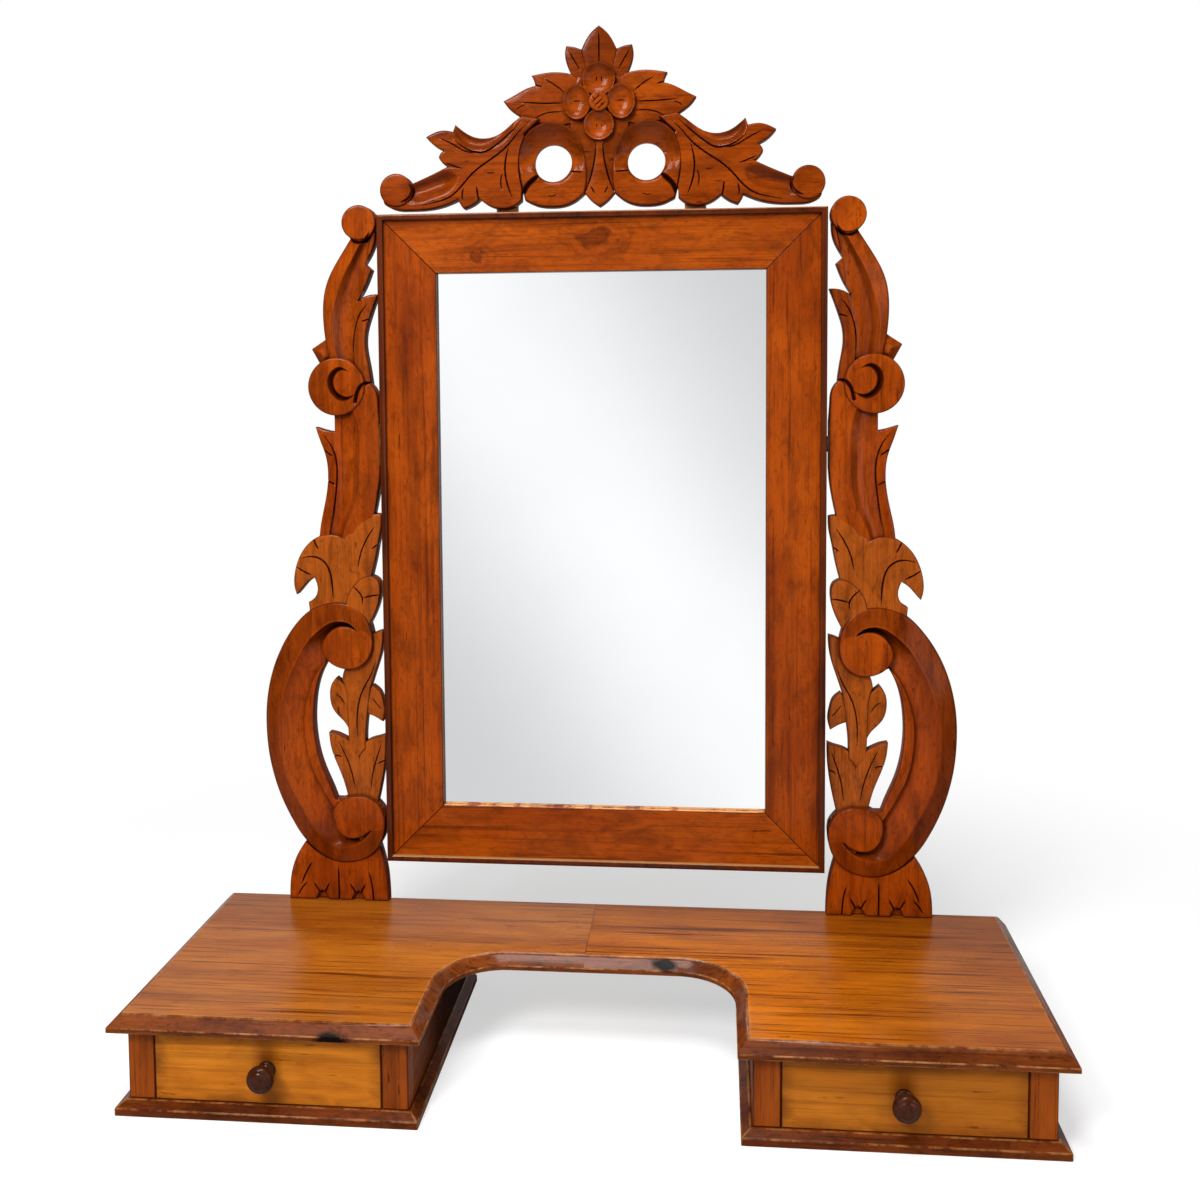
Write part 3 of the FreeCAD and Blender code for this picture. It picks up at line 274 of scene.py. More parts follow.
def add_grime_and_painted_shadow(work, middle_x, middle_z, reach_x, reach_z):
    """Add grime and painted shadow along the rim of a drawer front, left and right alike, and round its
    knob.
    """
    tree = work.tree
    across = maths(tree, "ABSOLUTE", work.apart["X"])
    away_x = maths(tree, "ABSOLUTE", maths(tree, "SUBTRACT", across, middle_x))
    away_z = maths(tree, "ABSOLUTE", maths(tree, "SUBTRACT", work.apart["Z"], middle_z))
    near_x = ramp(tree, away_x, reach_x - RIM_GRIME_AND_SHADOW_WIDTH, reach_x)
    near_z = ramp(tree, away_z, reach_z - RIM_GRIME_AND_SHADOW_WIDTH, reach_z)
    uneven = ramp(tree, work.layers["blotches"], 0.25, 0.6)
    tint(work, times(tree, maths(tree, "MAXIMUM", near_x, near_z), uneven), 0.8)
    # Painted shadow of the knob, with grime: a dark smear round it.
    smear_and_shadow = times(tree, ramp(tree, away_x, *KNOB_SMEAR_AND_SHADOW_ACROSS), ramp(tree, away_z, *KNOB_SMEAR_AND_SHADOW_UP))
    tint(work, smear_and_shadow, 0.85)


print("knots, shades and grime ready")

# %% [markdown]
# A century of use shows as dirt and wear, and shade is painted in with them. The faces of the carving that
# turn away from the front are darker, which is painted shade. The corners and the cuts are darkened towards
# soot, partly dirt and partly painted shade, and bare wood shows where edges were knocked. The upper faces
# of the bead are painted lighter, partly wear and partly painted highlight. Corners are found by ambient
# occlusion. The meshes mark their own cuts and arrises, which is surer than guessing them in the shader. A
# scorch is a ragged black spot that has lost its polish.

# %% Dirt, wear, painted shade and scorches
# The colour of bare wood, which also paints highlights.
BARE_WOOD_AND_HIGHLIGHT = (0.56, 0.25, 0.075, 1)
CORNER_DIRT_AND_SHADE_REACH = 7 * mm


def add_dirt_and_painted_shade(work):
    """Paint shade on faces that turn away, wear and painted light on upper faces, soot and shade in corners
    and cuts.
    """
    tree = work.tree
    facing = add_node(tree, "SeparateXYZ", {0: add_node(tree, "TexCoord").outputs["Normal"]}).outputs
    # Painted shade: faces that turn away from the front are darkened.
    tint(work, ramp(tree, maths(tree, "ABSOLUTE", facing["Y"]), 0.97, 0.72), work.look["patina"])
    # Painted highlight, partly wear: upper faces are drawn towards bare wood.
    tint(work, ramp(tree, facing["Z"], 0.3, 0.8), work.look["rubbed"], BARE_WOOD_AND_HIGHLIGHT)
    # Painted shade, partly dirt: corners found by ambient occlusion are darkened towards soot.
    open_air = add_node(tree, "AmbientOcclusion", {"Distance": CORNER_DIRT_AND_SHADE_REACH}, samples=8, only_local=True)
    tint(work, ramp(tree, open_air.outputs["AO"], 0.82, 0.22), 0.88, work.soot)
    # Dirt, dark joints and painted shade: cuts, hollows and dark edges marked on the meshes are darkened.
    tint(work, ramp(tree, marks_on(tree, "groove"), 0.2, 1.8), 0.65, work.soot)


def add_wear_and_highlight(work):
    """Show bare wood on the arrises that were knocked, and the painted highlights marked with it."""
    knocked = ramp(work.tree, work.knocks, 0.42, 0.6)
    tint(work, times(work.tree, marks_on(work.tree, "worn"), knocked), 0.7, BARE_WOOD_AND_HIGHLIGHT)


def add_scorches(work):
    """Add burnt spots with ragged edges, and take the clear coat away there."""
    tree = work.tree
    for spot, length in work.look["scorches"]:
        away = distance(tree, work.place, spot, (0.5, 1, 1))
        ragged = maths(tree, "ADD", away, times(tree, work.knocks, length))
        whole = ramp(tree, ragged, 1.1 * length, 1.6 * length)
        work.colour = mix_colour(tree, whole, work.soot, work.colour)
        work.coat = times(tree, whole, work.coat)


print("dirt and wear ready")

# %% [markdown]
# A wood finish puts these steps on top of each other, mostly in the order in which they came to the real
# board: grain, knots, shades, grime, dirt, wear, scorches, and the polish over all. The shades, the grime,
# the dirt and the wear also hold painted shade and highlights. Shellac is a thin clear coat.
# It was rubbed more in some places than in others, and the grain can just be felt through it.

# %% Polished wood
WOOD_LOOK = {
    "streak": 0.6, "fine": 0.25, "wave": 0.25, "cloud": 0.35, "mottle": 0.0, "band": 0.45, "pore": 0.35,
    "speck": 0.85, "rough": 0.38, "gloss": 0.08, "coat": 0.0, "patina": 0.0, "rubbed": 0.0, "shift": 0.0,
    "shades": (), "rim": None, "knots": (), "scorches": (),
}
COAT_ROUGHNESS = 0.14
# The share of the dark that soot and painted shade are drawn towards.
SOOT_AND_SHADE_SHARE = 0.2


def add_polish(work, shader):
    """Give the shader the finished colour, an uneven polish, a clear coat and a felt grain."""
    tree, layers, rough = work.tree, work.layers, work.look["rough"]
    height = maths(tree, "ADD", layers["lines"], layers["blotches"])
    relief = add_node(tree, "Bump", {"Strength": 0.35, "Distance": 0.5 * mm, "Height": height})
    uneven = ramp(tree, layers["smears"], 0.3, 0.7, rough * 0.75, rough * 1.35)
    feed(tree, shader.inputs["Base Color"], work.colour)
    feed(tree, shader.inputs["Roughness"], uneven)
    feed(tree, shader.inputs["Normal"], relief.outputs["Normal"])
    feed(tree, shader.inputs["Coat Weight"], work.coat)
    shader.inputs["Coat Roughness"].default_value = COAT_ROUGHNESS
    shader.inputs["Specular IOR Level"].default_value = work.look["gloss"]


def wood(name, grain, dark, middle, light, **changes):
    """A polished wood with its grain along an axis, three tones and some changes to the usual look."""
    material, tree, shader = new_material(name)
    place = object_place(tree)
    look = WOOD_LOOK | changes
    work = SimpleNamespace(
        tree=tree, place=place, apart=add_node(tree, "SeparateXYZ", {0: place}).outputs, look=look,
        dark=(*dark, 1), soot=(*(part * SOOT_AND_SHADE_SHARE for part in dark), 1), coat=look["coat"], layers={},
        knocks=noise(tree, place, (70, 70, 70), 5, 0.7))
    sawn_grain(work, grain, (*middle, 1), (*light, 1))
    add_knots(work)
    add_shades(work)
    # Grime with the painted shadow of the top and of the knob, on the drawer fronts.
    if look["rim"]:
        add_grime_and_painted_shadow(work, *look["rim"])
    add_dirt_and_painted_shade(work)
    add_wear_and_highlight(work)
    add_scorches(work)
    add_polish(work, shader)
    return material


print("wood can be finished")

# %% [markdown]
# Each piece has its own tones. The two boards of the top come from different trees: the left one is brown,
# and the right one is orange. Both carry painted shade towards the back, under the frame, and the right one
# darkens towards its right end with the painted fall-off of the light. The mouldings and the plinths were
# stained nearly black, the drawer fronts are the palest, and the inner sides of the boxes carry painted
# shade: dark, and darker towards the back of the recess.

# %% Woods of the base
RED_DARK = (0.035, 0.004, 0.0005)

# The scorches on the edge of the top: the place and the length of each, in metres.
SCORCHES = [((-0.216, -0.14, 0.079), 0.009), ((0.069, 0.013, 0.086), 0.007)]

# The middle and the reach of a drawer front, for its grimy rim with painted shadow.
drawer_low, drawer_high = (Vector(corner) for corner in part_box("drawer_front_right"))
drawer_middle = (drawer_low + drawer_high) / 2
drawer_reach = (drawer_high - drawer_low) / 2
DRAWER_GRIME_AND_SHADOW = (drawer_middle.x, drawer_middle.z, drawer_reach.x, drawer_reach.z)

finish = {
    # The top's shades are painted shade: darker towards the back, and on the right board towards its right
    # end.
    "top_left": wood(
        "top_polish_left", "X", (0.07, 0.011, 0.0008), (0.32, 0.075, 0.004), (0.47, 0.142, 0.01),
        streak=0.9, fine=0.75, wave=0.5, cloud=0.12, rough=0.26, gloss=0.16, coat=0.07,
        shades=[("Y", 0.0, 0.13, 0.3)]),
    "top_right": wood(
        "top_polish_right", "X", (0.06, 0.008, 0.0005), (0.42, 0.098, 0.003), (0.6, 0.165, 0.006),
        streak=0.9, fine=0.75, wave=0.5, cloud=0.2, rough=0.28, gloss=0.1, coat=0.05, shift=0.37,
        shades=[("X", 0.17, 0.29, 0.3), ("Y", -0.03, 0.12, 0.45)]),
    "moulding": wood(
        "moulding_polish", "X", (0.02, 0.003, 0.0005), (0.13, 0.025, 0.0025), (0.23, 0.05, 0.006),
        mottle=0.6, cloud=0.6, rough=0.3, gloss=0.06, coat=0.16, scorches=SCORCHES),
    "plinth": wood(
        "plinth_polish", "X", (0.02, 0.003, 0.0005), (0.085, 0.014, 0.0014), (0.15, 0.03, 0.003),
        mottle=0.6, cloud=0.6, rough=0.3, gloss=0.05, coat=0.12),
    "case_upright": wood(
        "case_polish_upright", "Z", RED_DARK, (0.24, 0.042, 0.003), (0.35, 0.074, 0.006),
        fine=0.4, gloss=0.05, coat=0.06),
    "outer_side": wood(
        "case_polish_outer_side", "Y", RED_DARK, (0.2, 0.036, 0.0027), (0.3, 0.062, 0.005),
        fine=0.4, gloss=0.05, coat=0.06),
    # Painted shade: the inner sides are dark, and darker towards the back of the recess.
    "inner_side": wood(
        "case_polish_inner_side", "Y", (0.012, 0.0015, 0.0003), (0.16, 0.032, 0.0025),
        (0.23, 0.052, 0.0045), gloss=0.02, shades=[("Y", -0.125, 0.0, 0.9)]),
    "drawer": wood(
        "drawer_polish", "X", (0.15, 0.034, 0.0025), (0.52, 0.145, 0.007), (0.72, 0.235, 0.016),
        streak=0.35, fine=0.3, gloss=0.06, coat=0.06, shades=[("X", 0.0, 0.3, 0.45)], rim=DRAWER_GRIME_AND_SHADOW),
    "knob": wood(
        "knob_polish", "Y", (0.006, 0.0015, 0.0005), (0.03, 0.0055, 0.0008), (0.06, 0.012, 0.002),
        rough=0.3, gloss=0.03, coat=0.3),
    "bare": wood(
        "bare_softwood", "X", (0.24, 0.1, 0.03), (0.5, 0.27, 0.105), (0.6, 0.36, 0.16),
        streak=0.3, rough=0.6),
}
print("woods of the base:", ", ".join(finish))

# %% [markdown]
# The carving, the crest and the frame are redder, with less of the grain to see, and the crest darkens
# towards its tip. The bead round the frame is nearly black, but its upper faces are painted lighter,
# towards bare wood: partly wear, partly a painted highlight of the light from above.

# %% Woods of the carving and the frame
# The knots in the top rail: the place and the radius of each, in metres.
KNOTS = [((-0.1264, 0.121, 0.7814), 0.014), ((-0.0045, 0.121, 0.8007), 0.026)]
CARVING_LOOK = {"streak": 0.3, "mottle": 0.4, "cloud": 0.5, "rough": 0.28, "gloss": 0.02}
FRAME_LOOK = {"wave": 0.6, "cloud": 0.5, "rough": 0.3, "gloss": 0.02, "coat": 0.12}
# The carving has painted shade on the faces that turn away from the front.
finish["carving_upright"] = wood(
    "carving_polish", "Z", RED_DARK, (0.24, 0.032, 0.0013), (0.38, 0.062, 0.0025),
    coat=0.14, patina=0.6, **CARVING_LOOK)
finish["carving_across"] = wood(
    "crest_polish", "X", RED_DARK, (0.19, 0.026, 0.001), (0.3, 0.05, 0.002),
    coat=0.13, patina=0.5, shades=[("Z", 0.95, 0.99, 0.5)], **CARVING_LOOK)
finish["rail"] = wood(
    "rail_polish", "X", RED_DARK, (0.255, 0.037, 0.0015), (0.39, 0.072, 0.003),
    mottle=0.3, knots=KNOTS, **FRAME_LOOK)
finish["stile"] = wood(
    "stile_polish", "Z", RED_DARK, (0.225, 0.03, 0.001), (0.36, 0.06, 0.002), mottle=0.35, **FRAME_LOOK)
# The bead's upper faces carry wear and a painted highlight.
finish["bead"] = wood(
    "bead_polish", "Z", (0.012, 0.002, 0.0004), (0.06, 0.0085, 0.0006), (0.12, 0.019, 0.001),
    rough=0.3, gloss=0.03, coat=0.3, rubbed=0.55)
print("woods in all:", len(finish))

# %% [markdown]
# The glass is silvered on its back, so what shows is a nearly perfect reflection with a faint grey
# cast. The pivots are aged brass, the screws are dull steel and the washers are leather. They hardly show,
# but each has its own finish, with a little unevenness in it.

# %% Glass, metal and leather finishes
def plain_finish(name, first, second, metallic, smoothest, roughest, spots):
    """A finish that drifts between two colours and between two degrees of polish."""
    material, tree, shader = new_material(name)
    source = {"Vector": object_place(tree), "Scale": spots, "Detail": 4.0}
    drift = add_node(tree, "TexNoise", source).outputs["Fac"]
    colour = mix_colour(tree, ramp(tree, drift, 0.35, 0.65), (*first, 1), (*second, 1))
    feed(tree, shader.inputs["Base Color"], colour)
    feed(tree, shader.inputs["Roughness"], ramp(tree, drift, 0, 1, smoothest, roughest))
    shader.inputs["Metallic"].default_value = metallic
    return material


finish["glass"] = plain_finish("silvered_glass", (0.93, 0.94, 0.95), (0.9, 0.91, 0.92), 1, 0.01, 0.03, 6)
finish["brass"] = plain_finish("aged_brass", (0.3, 0.19, 0.06), (0.14, 0.08, 0.025), 1, 0.3, 0.5, 300)
finish["steel"] = plain_finish("dull_steel", (0.33, 0.32, 0.31), (0.2, 0.18, 0.17), 1, 0.4, 0.6, 400)
finish["leather"] = plain_finish("leather", (0.11, 0.05, 0.025), (0.06, 0.028, 0.015), 0, 0.6, 0.8, 900)
print("finishes in all:", len(finish))

# %% [markdown]
# A piece that is shown in place of its plain solid rides on the same body, so that it moves as the solid
# does. Every new piece goes through these few helpers.

# %% Showing a piece
def body_of(node):
    """The body that a node belongs to."""
    return frame["nodes"][node]["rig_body"]


def slot_of(node):
    """The record's material slot of a node."""
    slots = {part["node"]: part["material_slot"] for part in frame["record"]["subparts"]}
    return slots[node]


def piece_from(bm, name):
    """Turn a bmesh into a new object at the origin."""
    mesh = bpy.data.meshes.new(name)
    bm.to_mesh(mesh)
    bm.free()
    piece = bpy.data.objects.new(name, mesh)
    bpy.context.scene.collection.objects.link(piece)
    return piece


def show(piece, node, *materials):
    """Give a piece its finish and let it ride on its node's body, in place of the plain node."""
    for material in materials:
        piece.data.materials.append(material)
    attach(piece, body_of(node))
    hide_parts(node)


print("pieces can be shown")

# %% [markdown]
# No board on an old piece has a perfectly sharp edge. Each visible board is a copy of its solid: the loose
# triangles are merged and dissolved into flat faces again, and the bevel operator eases the arrises. The
# new narrow faces are marked as worn or as dark, so that the finish can show it there. A dark edge is a
# dirty joint, and in the gaps round the drawer fronts it is painted shade. The other way, a bevel in the
# shader, would leave the outline sharp.

# %% Easing helpers
# How strongly new faces are marked: wear, or dirt with painted shade.
EDGE_MARKS = {"worn": 0.5, "groove": 1.8}
SHARP_ANGLE = math.radians(20)
FLAT_ANGLE = math.radians(0.5)
SAME_PLACE = 0.001 * mm


def sharp_edges(bm):
    """The edges where two faces meet at an angle."""
    return [edge for edge in bm.edges if edge.calc_face_angle(0) > SHARP_ANGLE]


def join_flat(bm):
    """Join the faces of a bmesh that lie in one plane."""
    bmesh.ops.dissolve_limit(bm, angle_limit=FLAT_ANGLE, verts=bm.verts, edges=bm.edges)


def board_copy(node):
    """A bmesh copy of a node with its loose triangles joined into flat faces."""
    bm = bmesh.new()
    bm.from_mesh(frame["nodes"][node].data)
    bmesh.ops.remove_doubles(bm, verts=bm.verts, dist=SAME_PLACE)
    join_flat(bm)
    return bm


def mark(bm, faces, layer, amount):
    """Mark some faces in a layer, which is made if it is missing."""
    marks = bm.loops.layers.float.get(layer) or bm.loops.layers.float.new(layer)
    for face in faces:
        for loop in face.loops:
            loop[marks] = amount


def ease(bm, edges, radius, layer, amount, segments=3):
    """Ease some edges of a bmesh and mark the new narrow faces."""
    made = bmesh.ops.bevel(
        bm, geom=edges, offset=radius, offset_type="OFFSET", segments=segments, profile=0.5, affect="EDGES",
        clamp_overlap=False, material=-1)
    for face in made["faces"]:
        face.smooth = True
    mark(bm, made["faces"], layer, amount)


print("boards can be eased")

# %% Boards of the boxes
def eased_board(node, kind, radius, layer):
    """Show a board with its sharp edges eased and marked."""
    bm = board_copy(node)
    ease(bm, sharp_edges(bm), radius, layer, EDGE_MARKS[layer])
    show(piece_from(bm, node + "_eased"), node, finish[kind])


# Each board: its finish, how far its edges are eased, and what its edges are marked as.
# The dark edges of the drawer fronts and stiles paint the shade in the gaps between them.
BOX_BOARDS = {
    "bottom_board": ("plinth", 1.0 * mm, "worn"),
    "drawer_front": ("drawer", 0.7 * mm, "groove"),
    "outer_stile": ("case_upright", 1.0 * mm, "groove"),
    "inner_stile": ("case_upright", 1.0 * mm, "groove"),
    "outer_side": ("outer_side", 0.5 * mm, "worn"),
    "inner_side": ("inner_side", 0.5 * mm, "worn"),
}
for side in ("left", "right"):
    for board, (kind, radius, layer) in BOX_BOARDS.items():
        eased_board(board + "_" + side, kind, radius, layer)
print("eased", 2 * len(BOX_BOARDS), "boards of the boxes")

# %% [markdown]
# The four members of the frame have one more line: the narrow edge that faces the glass. It is painted dark
# with shade at the top and the sides, and along the bottom it is painted as bare wood lit from above. A
# second material could show this, but a mark on those faces is enough, because the finish already knows
# dirt and wear, and their marks carry painted shade and highlights too.

# %% Members of the frame
FRAME_EASE = 0.6 * mm
SIGHT_PAINTED_LIGHT = 2.4
# Each member: its finish, and the mark of its sight edge: painted shade, or bare wood with a painted
# highlight.
FRAME_MEMBERS = {
    "top_rail": ("rail", "groove"),
    "bottom_rail": ("rail", "worn"),
    "left_stile": ("stile", "groove"),
    "right_stile": ("stile", "groove"),
}
glass_middle = sum((Vector(corner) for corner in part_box("mirror_glass")), Vector()) / 2


def faces_glass(face):
    """Whether a face looks along the frame's plane to the middle of the glass."""
    inward = glass_middle - face.calc_center_median()
    inward.y = 0
    return abs(face.normal.y) < 0.1 and face.normal.dot(inward) > 0


for node, (kind, sight_painted_light_layer) in FRAME_MEMBERS.items():
    bm = board_copy(node)
    ease(bm, sharp_edges(bm), FRAME_EASE, "groove", EDGE_MARKS["groove"])
    # Painted light on the sight edge: shade at the top and the sides, a highlight along the bottom.
    mark(bm, [face for face in bm.faces if faces_glass(face)], sight_painted_light_layer, SIGHT_PAINTED_LIGHT)
    show(piece_from(bm, node + "_eased"), node, finish[kind])
print("eased", len(FRAME_MEMBERS), "members of the frame")

# %% [markdown]
# The top is the piece that was knocked most. Its upper arris is worn to a soft round, and the upper faces
# of the round are painted paler, partly wear and partly painted highlight. The thin lip below the slope is
# still crisp but chipped. Dirt has filled the seam between its two boards. The slope was stained darker
# than the face, so the faces that do not look straight up get the finish of the mouldings.

# %% Closing the screw bores
BORE_WALL_AREA = 60 * mm * mm
BORE_WALL_HEIGHT = 6 * mm
BORE_REACH = 9 * mm


def close_bores(bm):
    """Close the screw bores of a board, which the pieces that the screws hold hide from view."""
    def is_wall(face):
        heights = [vert.co.z for vert in face.verts]
        tall = max(heights) - min(heights) > BORE_WALL_HEIGHT
        return tall and face.calc_area() < BORE_WALL_AREA and abs(face.normal.z) < 0.1

    bores = [face.calc_center_median() for face in bm.faces if is_wall(face)]

    def in_bore(face):
        return all(min((vert.co - bore).xy.length for bore in bores) < BORE_REACH for vert in face.verts)

    bmesh.ops.delete(bm, geom=[face for face in bm.faces if in_bore(face)], context="FACES")
    bmesh.ops.holes_fill(bm, edges=[edge for edge in bm.edges if edge.is_boundary], sides=0)
    join_flat(bm)


print("bores can be closed")

# %% The top
ARRIS_RADIUS = 3 * mm
SEAM_RADIUS = 0.3 * mm
LIP_RADIUS = 0.8 * mm
LIP_DEPTH = 4 * mm
ARRIS_MARK, SLOPE_WEAR_AND_HIGHLIGHT, LIP_MARK = 0.1, 0.5, 0.75


def moulded_top(node):
    """Show a half of the top with a soft upper arris, a dark seam, a crisp lip and a darker moulding."""
    bm = board_copy(node)
    close_bores(bm)
    face_height = max(vert.co.z for vert in bm.verts)
    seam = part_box("top_board_right")[0][0]

    def on_seam(edge):
        return all(abs(vert.co.x - seam) < 0.5 * mm for vert in edge.verts)

    def on_face(edge):
        return all(vert.co.z > face_height - 0.1 * mm for vert in edge.verts)

    def on_lip(edge):
        return max(vert.co.z for vert in edge.verts) < face_height - LIP_DEPTH

    arris = [edge for edge in sharp_edges(bm) if on_face(edge) and not on_seam(edge)]
    ease(bm, arris, ARRIS_RADIUS, "worn", ARRIS_MARK, 6)
    # Painted highlight, partly wear, on the upper faces of the round.
    mark(bm, [face for face in bm.faces if 0.9 < face.normal.z < 0.99], "worn", SLOPE_WEAR_AND_HIGHLIGHT)
    seam_edges = [edge for edge in sharp_edges(bm) if on_face(edge) and on_seam(edge)]
    ease(bm, seam_edges, SEAM_RADIUS, "groove", EDGE_MARKS["groove"], 1)
    lip = [edge for edge in sharp_edges(bm) if on_lip(edge) and not on_seam(edge)]
    ease(bm, lip, LIP_RADIUS, "worn", LIP_MARK)
    for face in bm.faces:
        face.material_index = 0 if face.normal.z > 0.97 else 1
    board_finish = finish[node.replace("board_", "")]
    show(piece_from(bm, node + "_eased"), node, board_finish, finish["moulding"])


for node in ("top_board_left", "top_board_right"):
    moulded_top(node)
print("top made")

# %% [markdown]
# Carving is all about height: every leaf, volute and rim stands at its own level, with an edge that is
# rounded over, a face that swells or is hollowed, and veins cut by a V-shaped gouge. The outlines are drawn
# as smooth strokes. These helpers turn strokes into points and tell how far a point is from a line or how
# deep inside an outline it lies, and that depth is what all the profiles are drawn over.

# %% Strokes and distances
def stroke(points, spacing):
    """Points along a smooth stroke through the given points, straight if there are only two."""
    points = np.array(points, dtype=float)
    spans = np.linalg.norm(np.diff(points, axis=0), axis=1)
    system = np.eye(len(points))
    pull = np.zeros(points.shape)
    for i in range(1, len(points) - 1):
        system[i, i - 1:i + 2] = spans[i - 1], 2 * (spans[i - 1] + spans[i]), spans[i]
        pull[i] = 6 * ((points[i + 1] - points[i]) / spans[i] - (points[i] - points[i - 1]) / spans[i - 1])
    bend = np.linalg.solve(system, pull)
    made = [points[:1]]
    for i, span in enumerate(spans):
        steps = max(1, round(span / spacing))
        t = (np.arange(1, steps + 1) / steps)[:, None]
        s = 1 - t
        sway = ((s ** 3 - s) * bend[i] + (t ** 3 - t) * bend[i + 1]) * span ** 2 / 6
        made.append(s * points[i] + t * points[i + 1] + sway)
    return np.concatenate(made)


def outline(start, rows, spacing):
    """A closed loop of points from a start and rows of points, where the rows meet on corners."""
    loop = [np.array([start])]
    for row in rows:
        loop.append(stroke([loop[-1][-1]] + list(row), spacing)[1:])
    return np.concatenate(loop)[:-1]


def circle(centre, radius, spacing):
    """A closed loop of points on a circle."""
    turn = np.linspace(0, 2 * math.pi, round(2 * math.pi * radius / spacing), endpoint=False)
    return np.array(centre) + radius * np.column_stack([np.cos(turn), np.sin(turn)])


def nearest_on(points, line):
    """How far each point lies from a line, how far along it the nearest place is, and on which side."""
    nearest = np.full(len(points), np.inf)
    along = np.zeros(len(points))
    side = np.zeros(len(points))
    passed = 0
    for first, last in zip(line[:-1], line[1:]):
        run = last - first
        length = np.hypot(*run)
        spot = points - first
        t = np.clip(spot @ run / length ** 2, 0, 1)
        reach = np.hypot(*(spot - t[:, None] * run).T)
        closer = reach < nearest
        nearest[closer] = reach[closer]
        along[closer] = passed + t[closer] * length
        side[closer] = (run[0] * spot[:, 1] - run[1] * spot[:, 0])[closer]
        passed += length
    return nearest, along, side


def lies_inside(points, loop):
    """Whether each point lies inside a loop."""
    across, up = points.T
    inside = np.zeros(len(points), dtype=bool)
    for first, last in zip(loop, np.roll(loop, -1, axis=0)):
        if first[1] != last[1]:
            crossing = first[0] + (last[0] - first[0]) * (up - first[1]) / (last[1] - first[1])
            inside ^= ((first[1] > up) != (last[1] > up)) & (across < crossing)
    return inside


def depth_inside(points, loop, margin=4):
    """How deep each point lies inside a loop, and less than 0 outside it."""
    depth = np.full(len(points), -np.inf)
    near = np.all((points > loop.min(axis=0) - margin) & (points < loop.max(axis=0) + margin), axis=1)
    reach, *_ = nearest_on(points[near], np.vstack([loop, loop[:1]]))
    depth[near] = np.where(lies_inside(points[near], loop), reach, -reach)
    return depth


print("stroke helpers ready")

# %% [markdown]
# The knobs were turned on a lathe: a collar against the drawer front, a slim neck and a flattened head. The
# spin operator is a lathe too, so a knob is one smooth stroke for its profile, turned round its own axis.

# %% Turned knobs
# The profile from the middle of the head to the drawer front: the radius and the reach, in millimetres.
KNOB_PROFILE = [
    (0.0, 23.8), (4.0, 23.5), (7.6, 22.7), (8.6, 21.9), (9.4, 21.8), (10.9, 20.8), (12.1, 18.2),
    (11.9, 15.4), (10.0, 12.4), (6.4, 9.6), (4.7, 6.8), (5.4, 4.4), (7.6, 3.0), (7.9, 1.2), (7.6, 0.0),
]
KNOB_SPACING = 0.7
KNOB_STEPS = 56


def turned_knob(side):
    """Turn one drawer knob."""
    node = "drawer_knob_" + side
    low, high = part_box(node)
    middle = ((low[0] + high[0]) / 2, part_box("drawer_front_" + side)[0][1], (low[2] + high[2]) / 2)
    profile = stroke(KNOB_PROFILE, KNOB_SPACING)
    bm = bmesh.new()
    verts = [bm.verts.new((middle[0] + radius * mm, middle[1] - reach * mm, middle[2]))
             for radius, reach in profile]
    edges = [bm.edges.new(pair) for pair in zip(verts[:-1], verts[1:])]
    bmesh.ops.spin(bm, geom=verts + edges, cent=middle, axis=(0, 1, 0), angle=2 * math.pi, steps=KNOB_STEPS,
                   use_merge=True)
    bmesh.ops.remove_doubles(bm, verts=bm.verts, dist=0.01 * mm)
    bmesh.ops.holes_fill(bm, edges=[edge for edge in bm.edges if edge.is_boundary], sides=0)
    bmesh.ops.recalc_face_normals(bm, faces=bm.faces)
    for face in bm.faces:
        face.smooth = True
    piece = piece_from(bm, node + "_turned")
    piece.data.set_sharp_from_angle(angle=math.radians(50))
    show(piece, node, finish["knob"])


for side in ("left", "right"):
    turned_knob(side)
print("knobs turned")

# %% [markdown]
# The bead and the glass keep their solids, and so do the pieces that are mostly hidden. They only get a
# finish: the insides of the boxes and drawers are bare softwood, and the pivots are brass, leather and
# steel.

# %% Finishes on the plain nodes
SLOT_FINISHES = {
    "inner_wood": "bare", "bead_wood": "bead", "silvered_glass": "glass", "brass": "brass",
    "steel": "steel", "leather": "leather",
}
plain_nodes = [node for node in frame["nodes"] if slot_of(node) in SLOT_FINISHES]
for node in plain_nodes:
    materials = frame["nodes"][node].data.materials
    materials.clear()
    materials.append(finish[SLOT_FINISHES[slot_of(node)]])
print("finished", len(plain_nodes), "plain nodes")

# %% [markdown]
# The two supports and the crest are boards that were sawn to a leafy outline and then carved. Each mass of
# the carving has an outline: a start and rows of points, where a row is one smooth stroke and the strokes
# meet on corners. On a support the points run outward from its inner edge, as shares of its width, and up
# from its foot, as shares of its height. On the crest they run outward from the middle, as shares of half
# its width. The number before the start is how much of the thickness the mass fills.

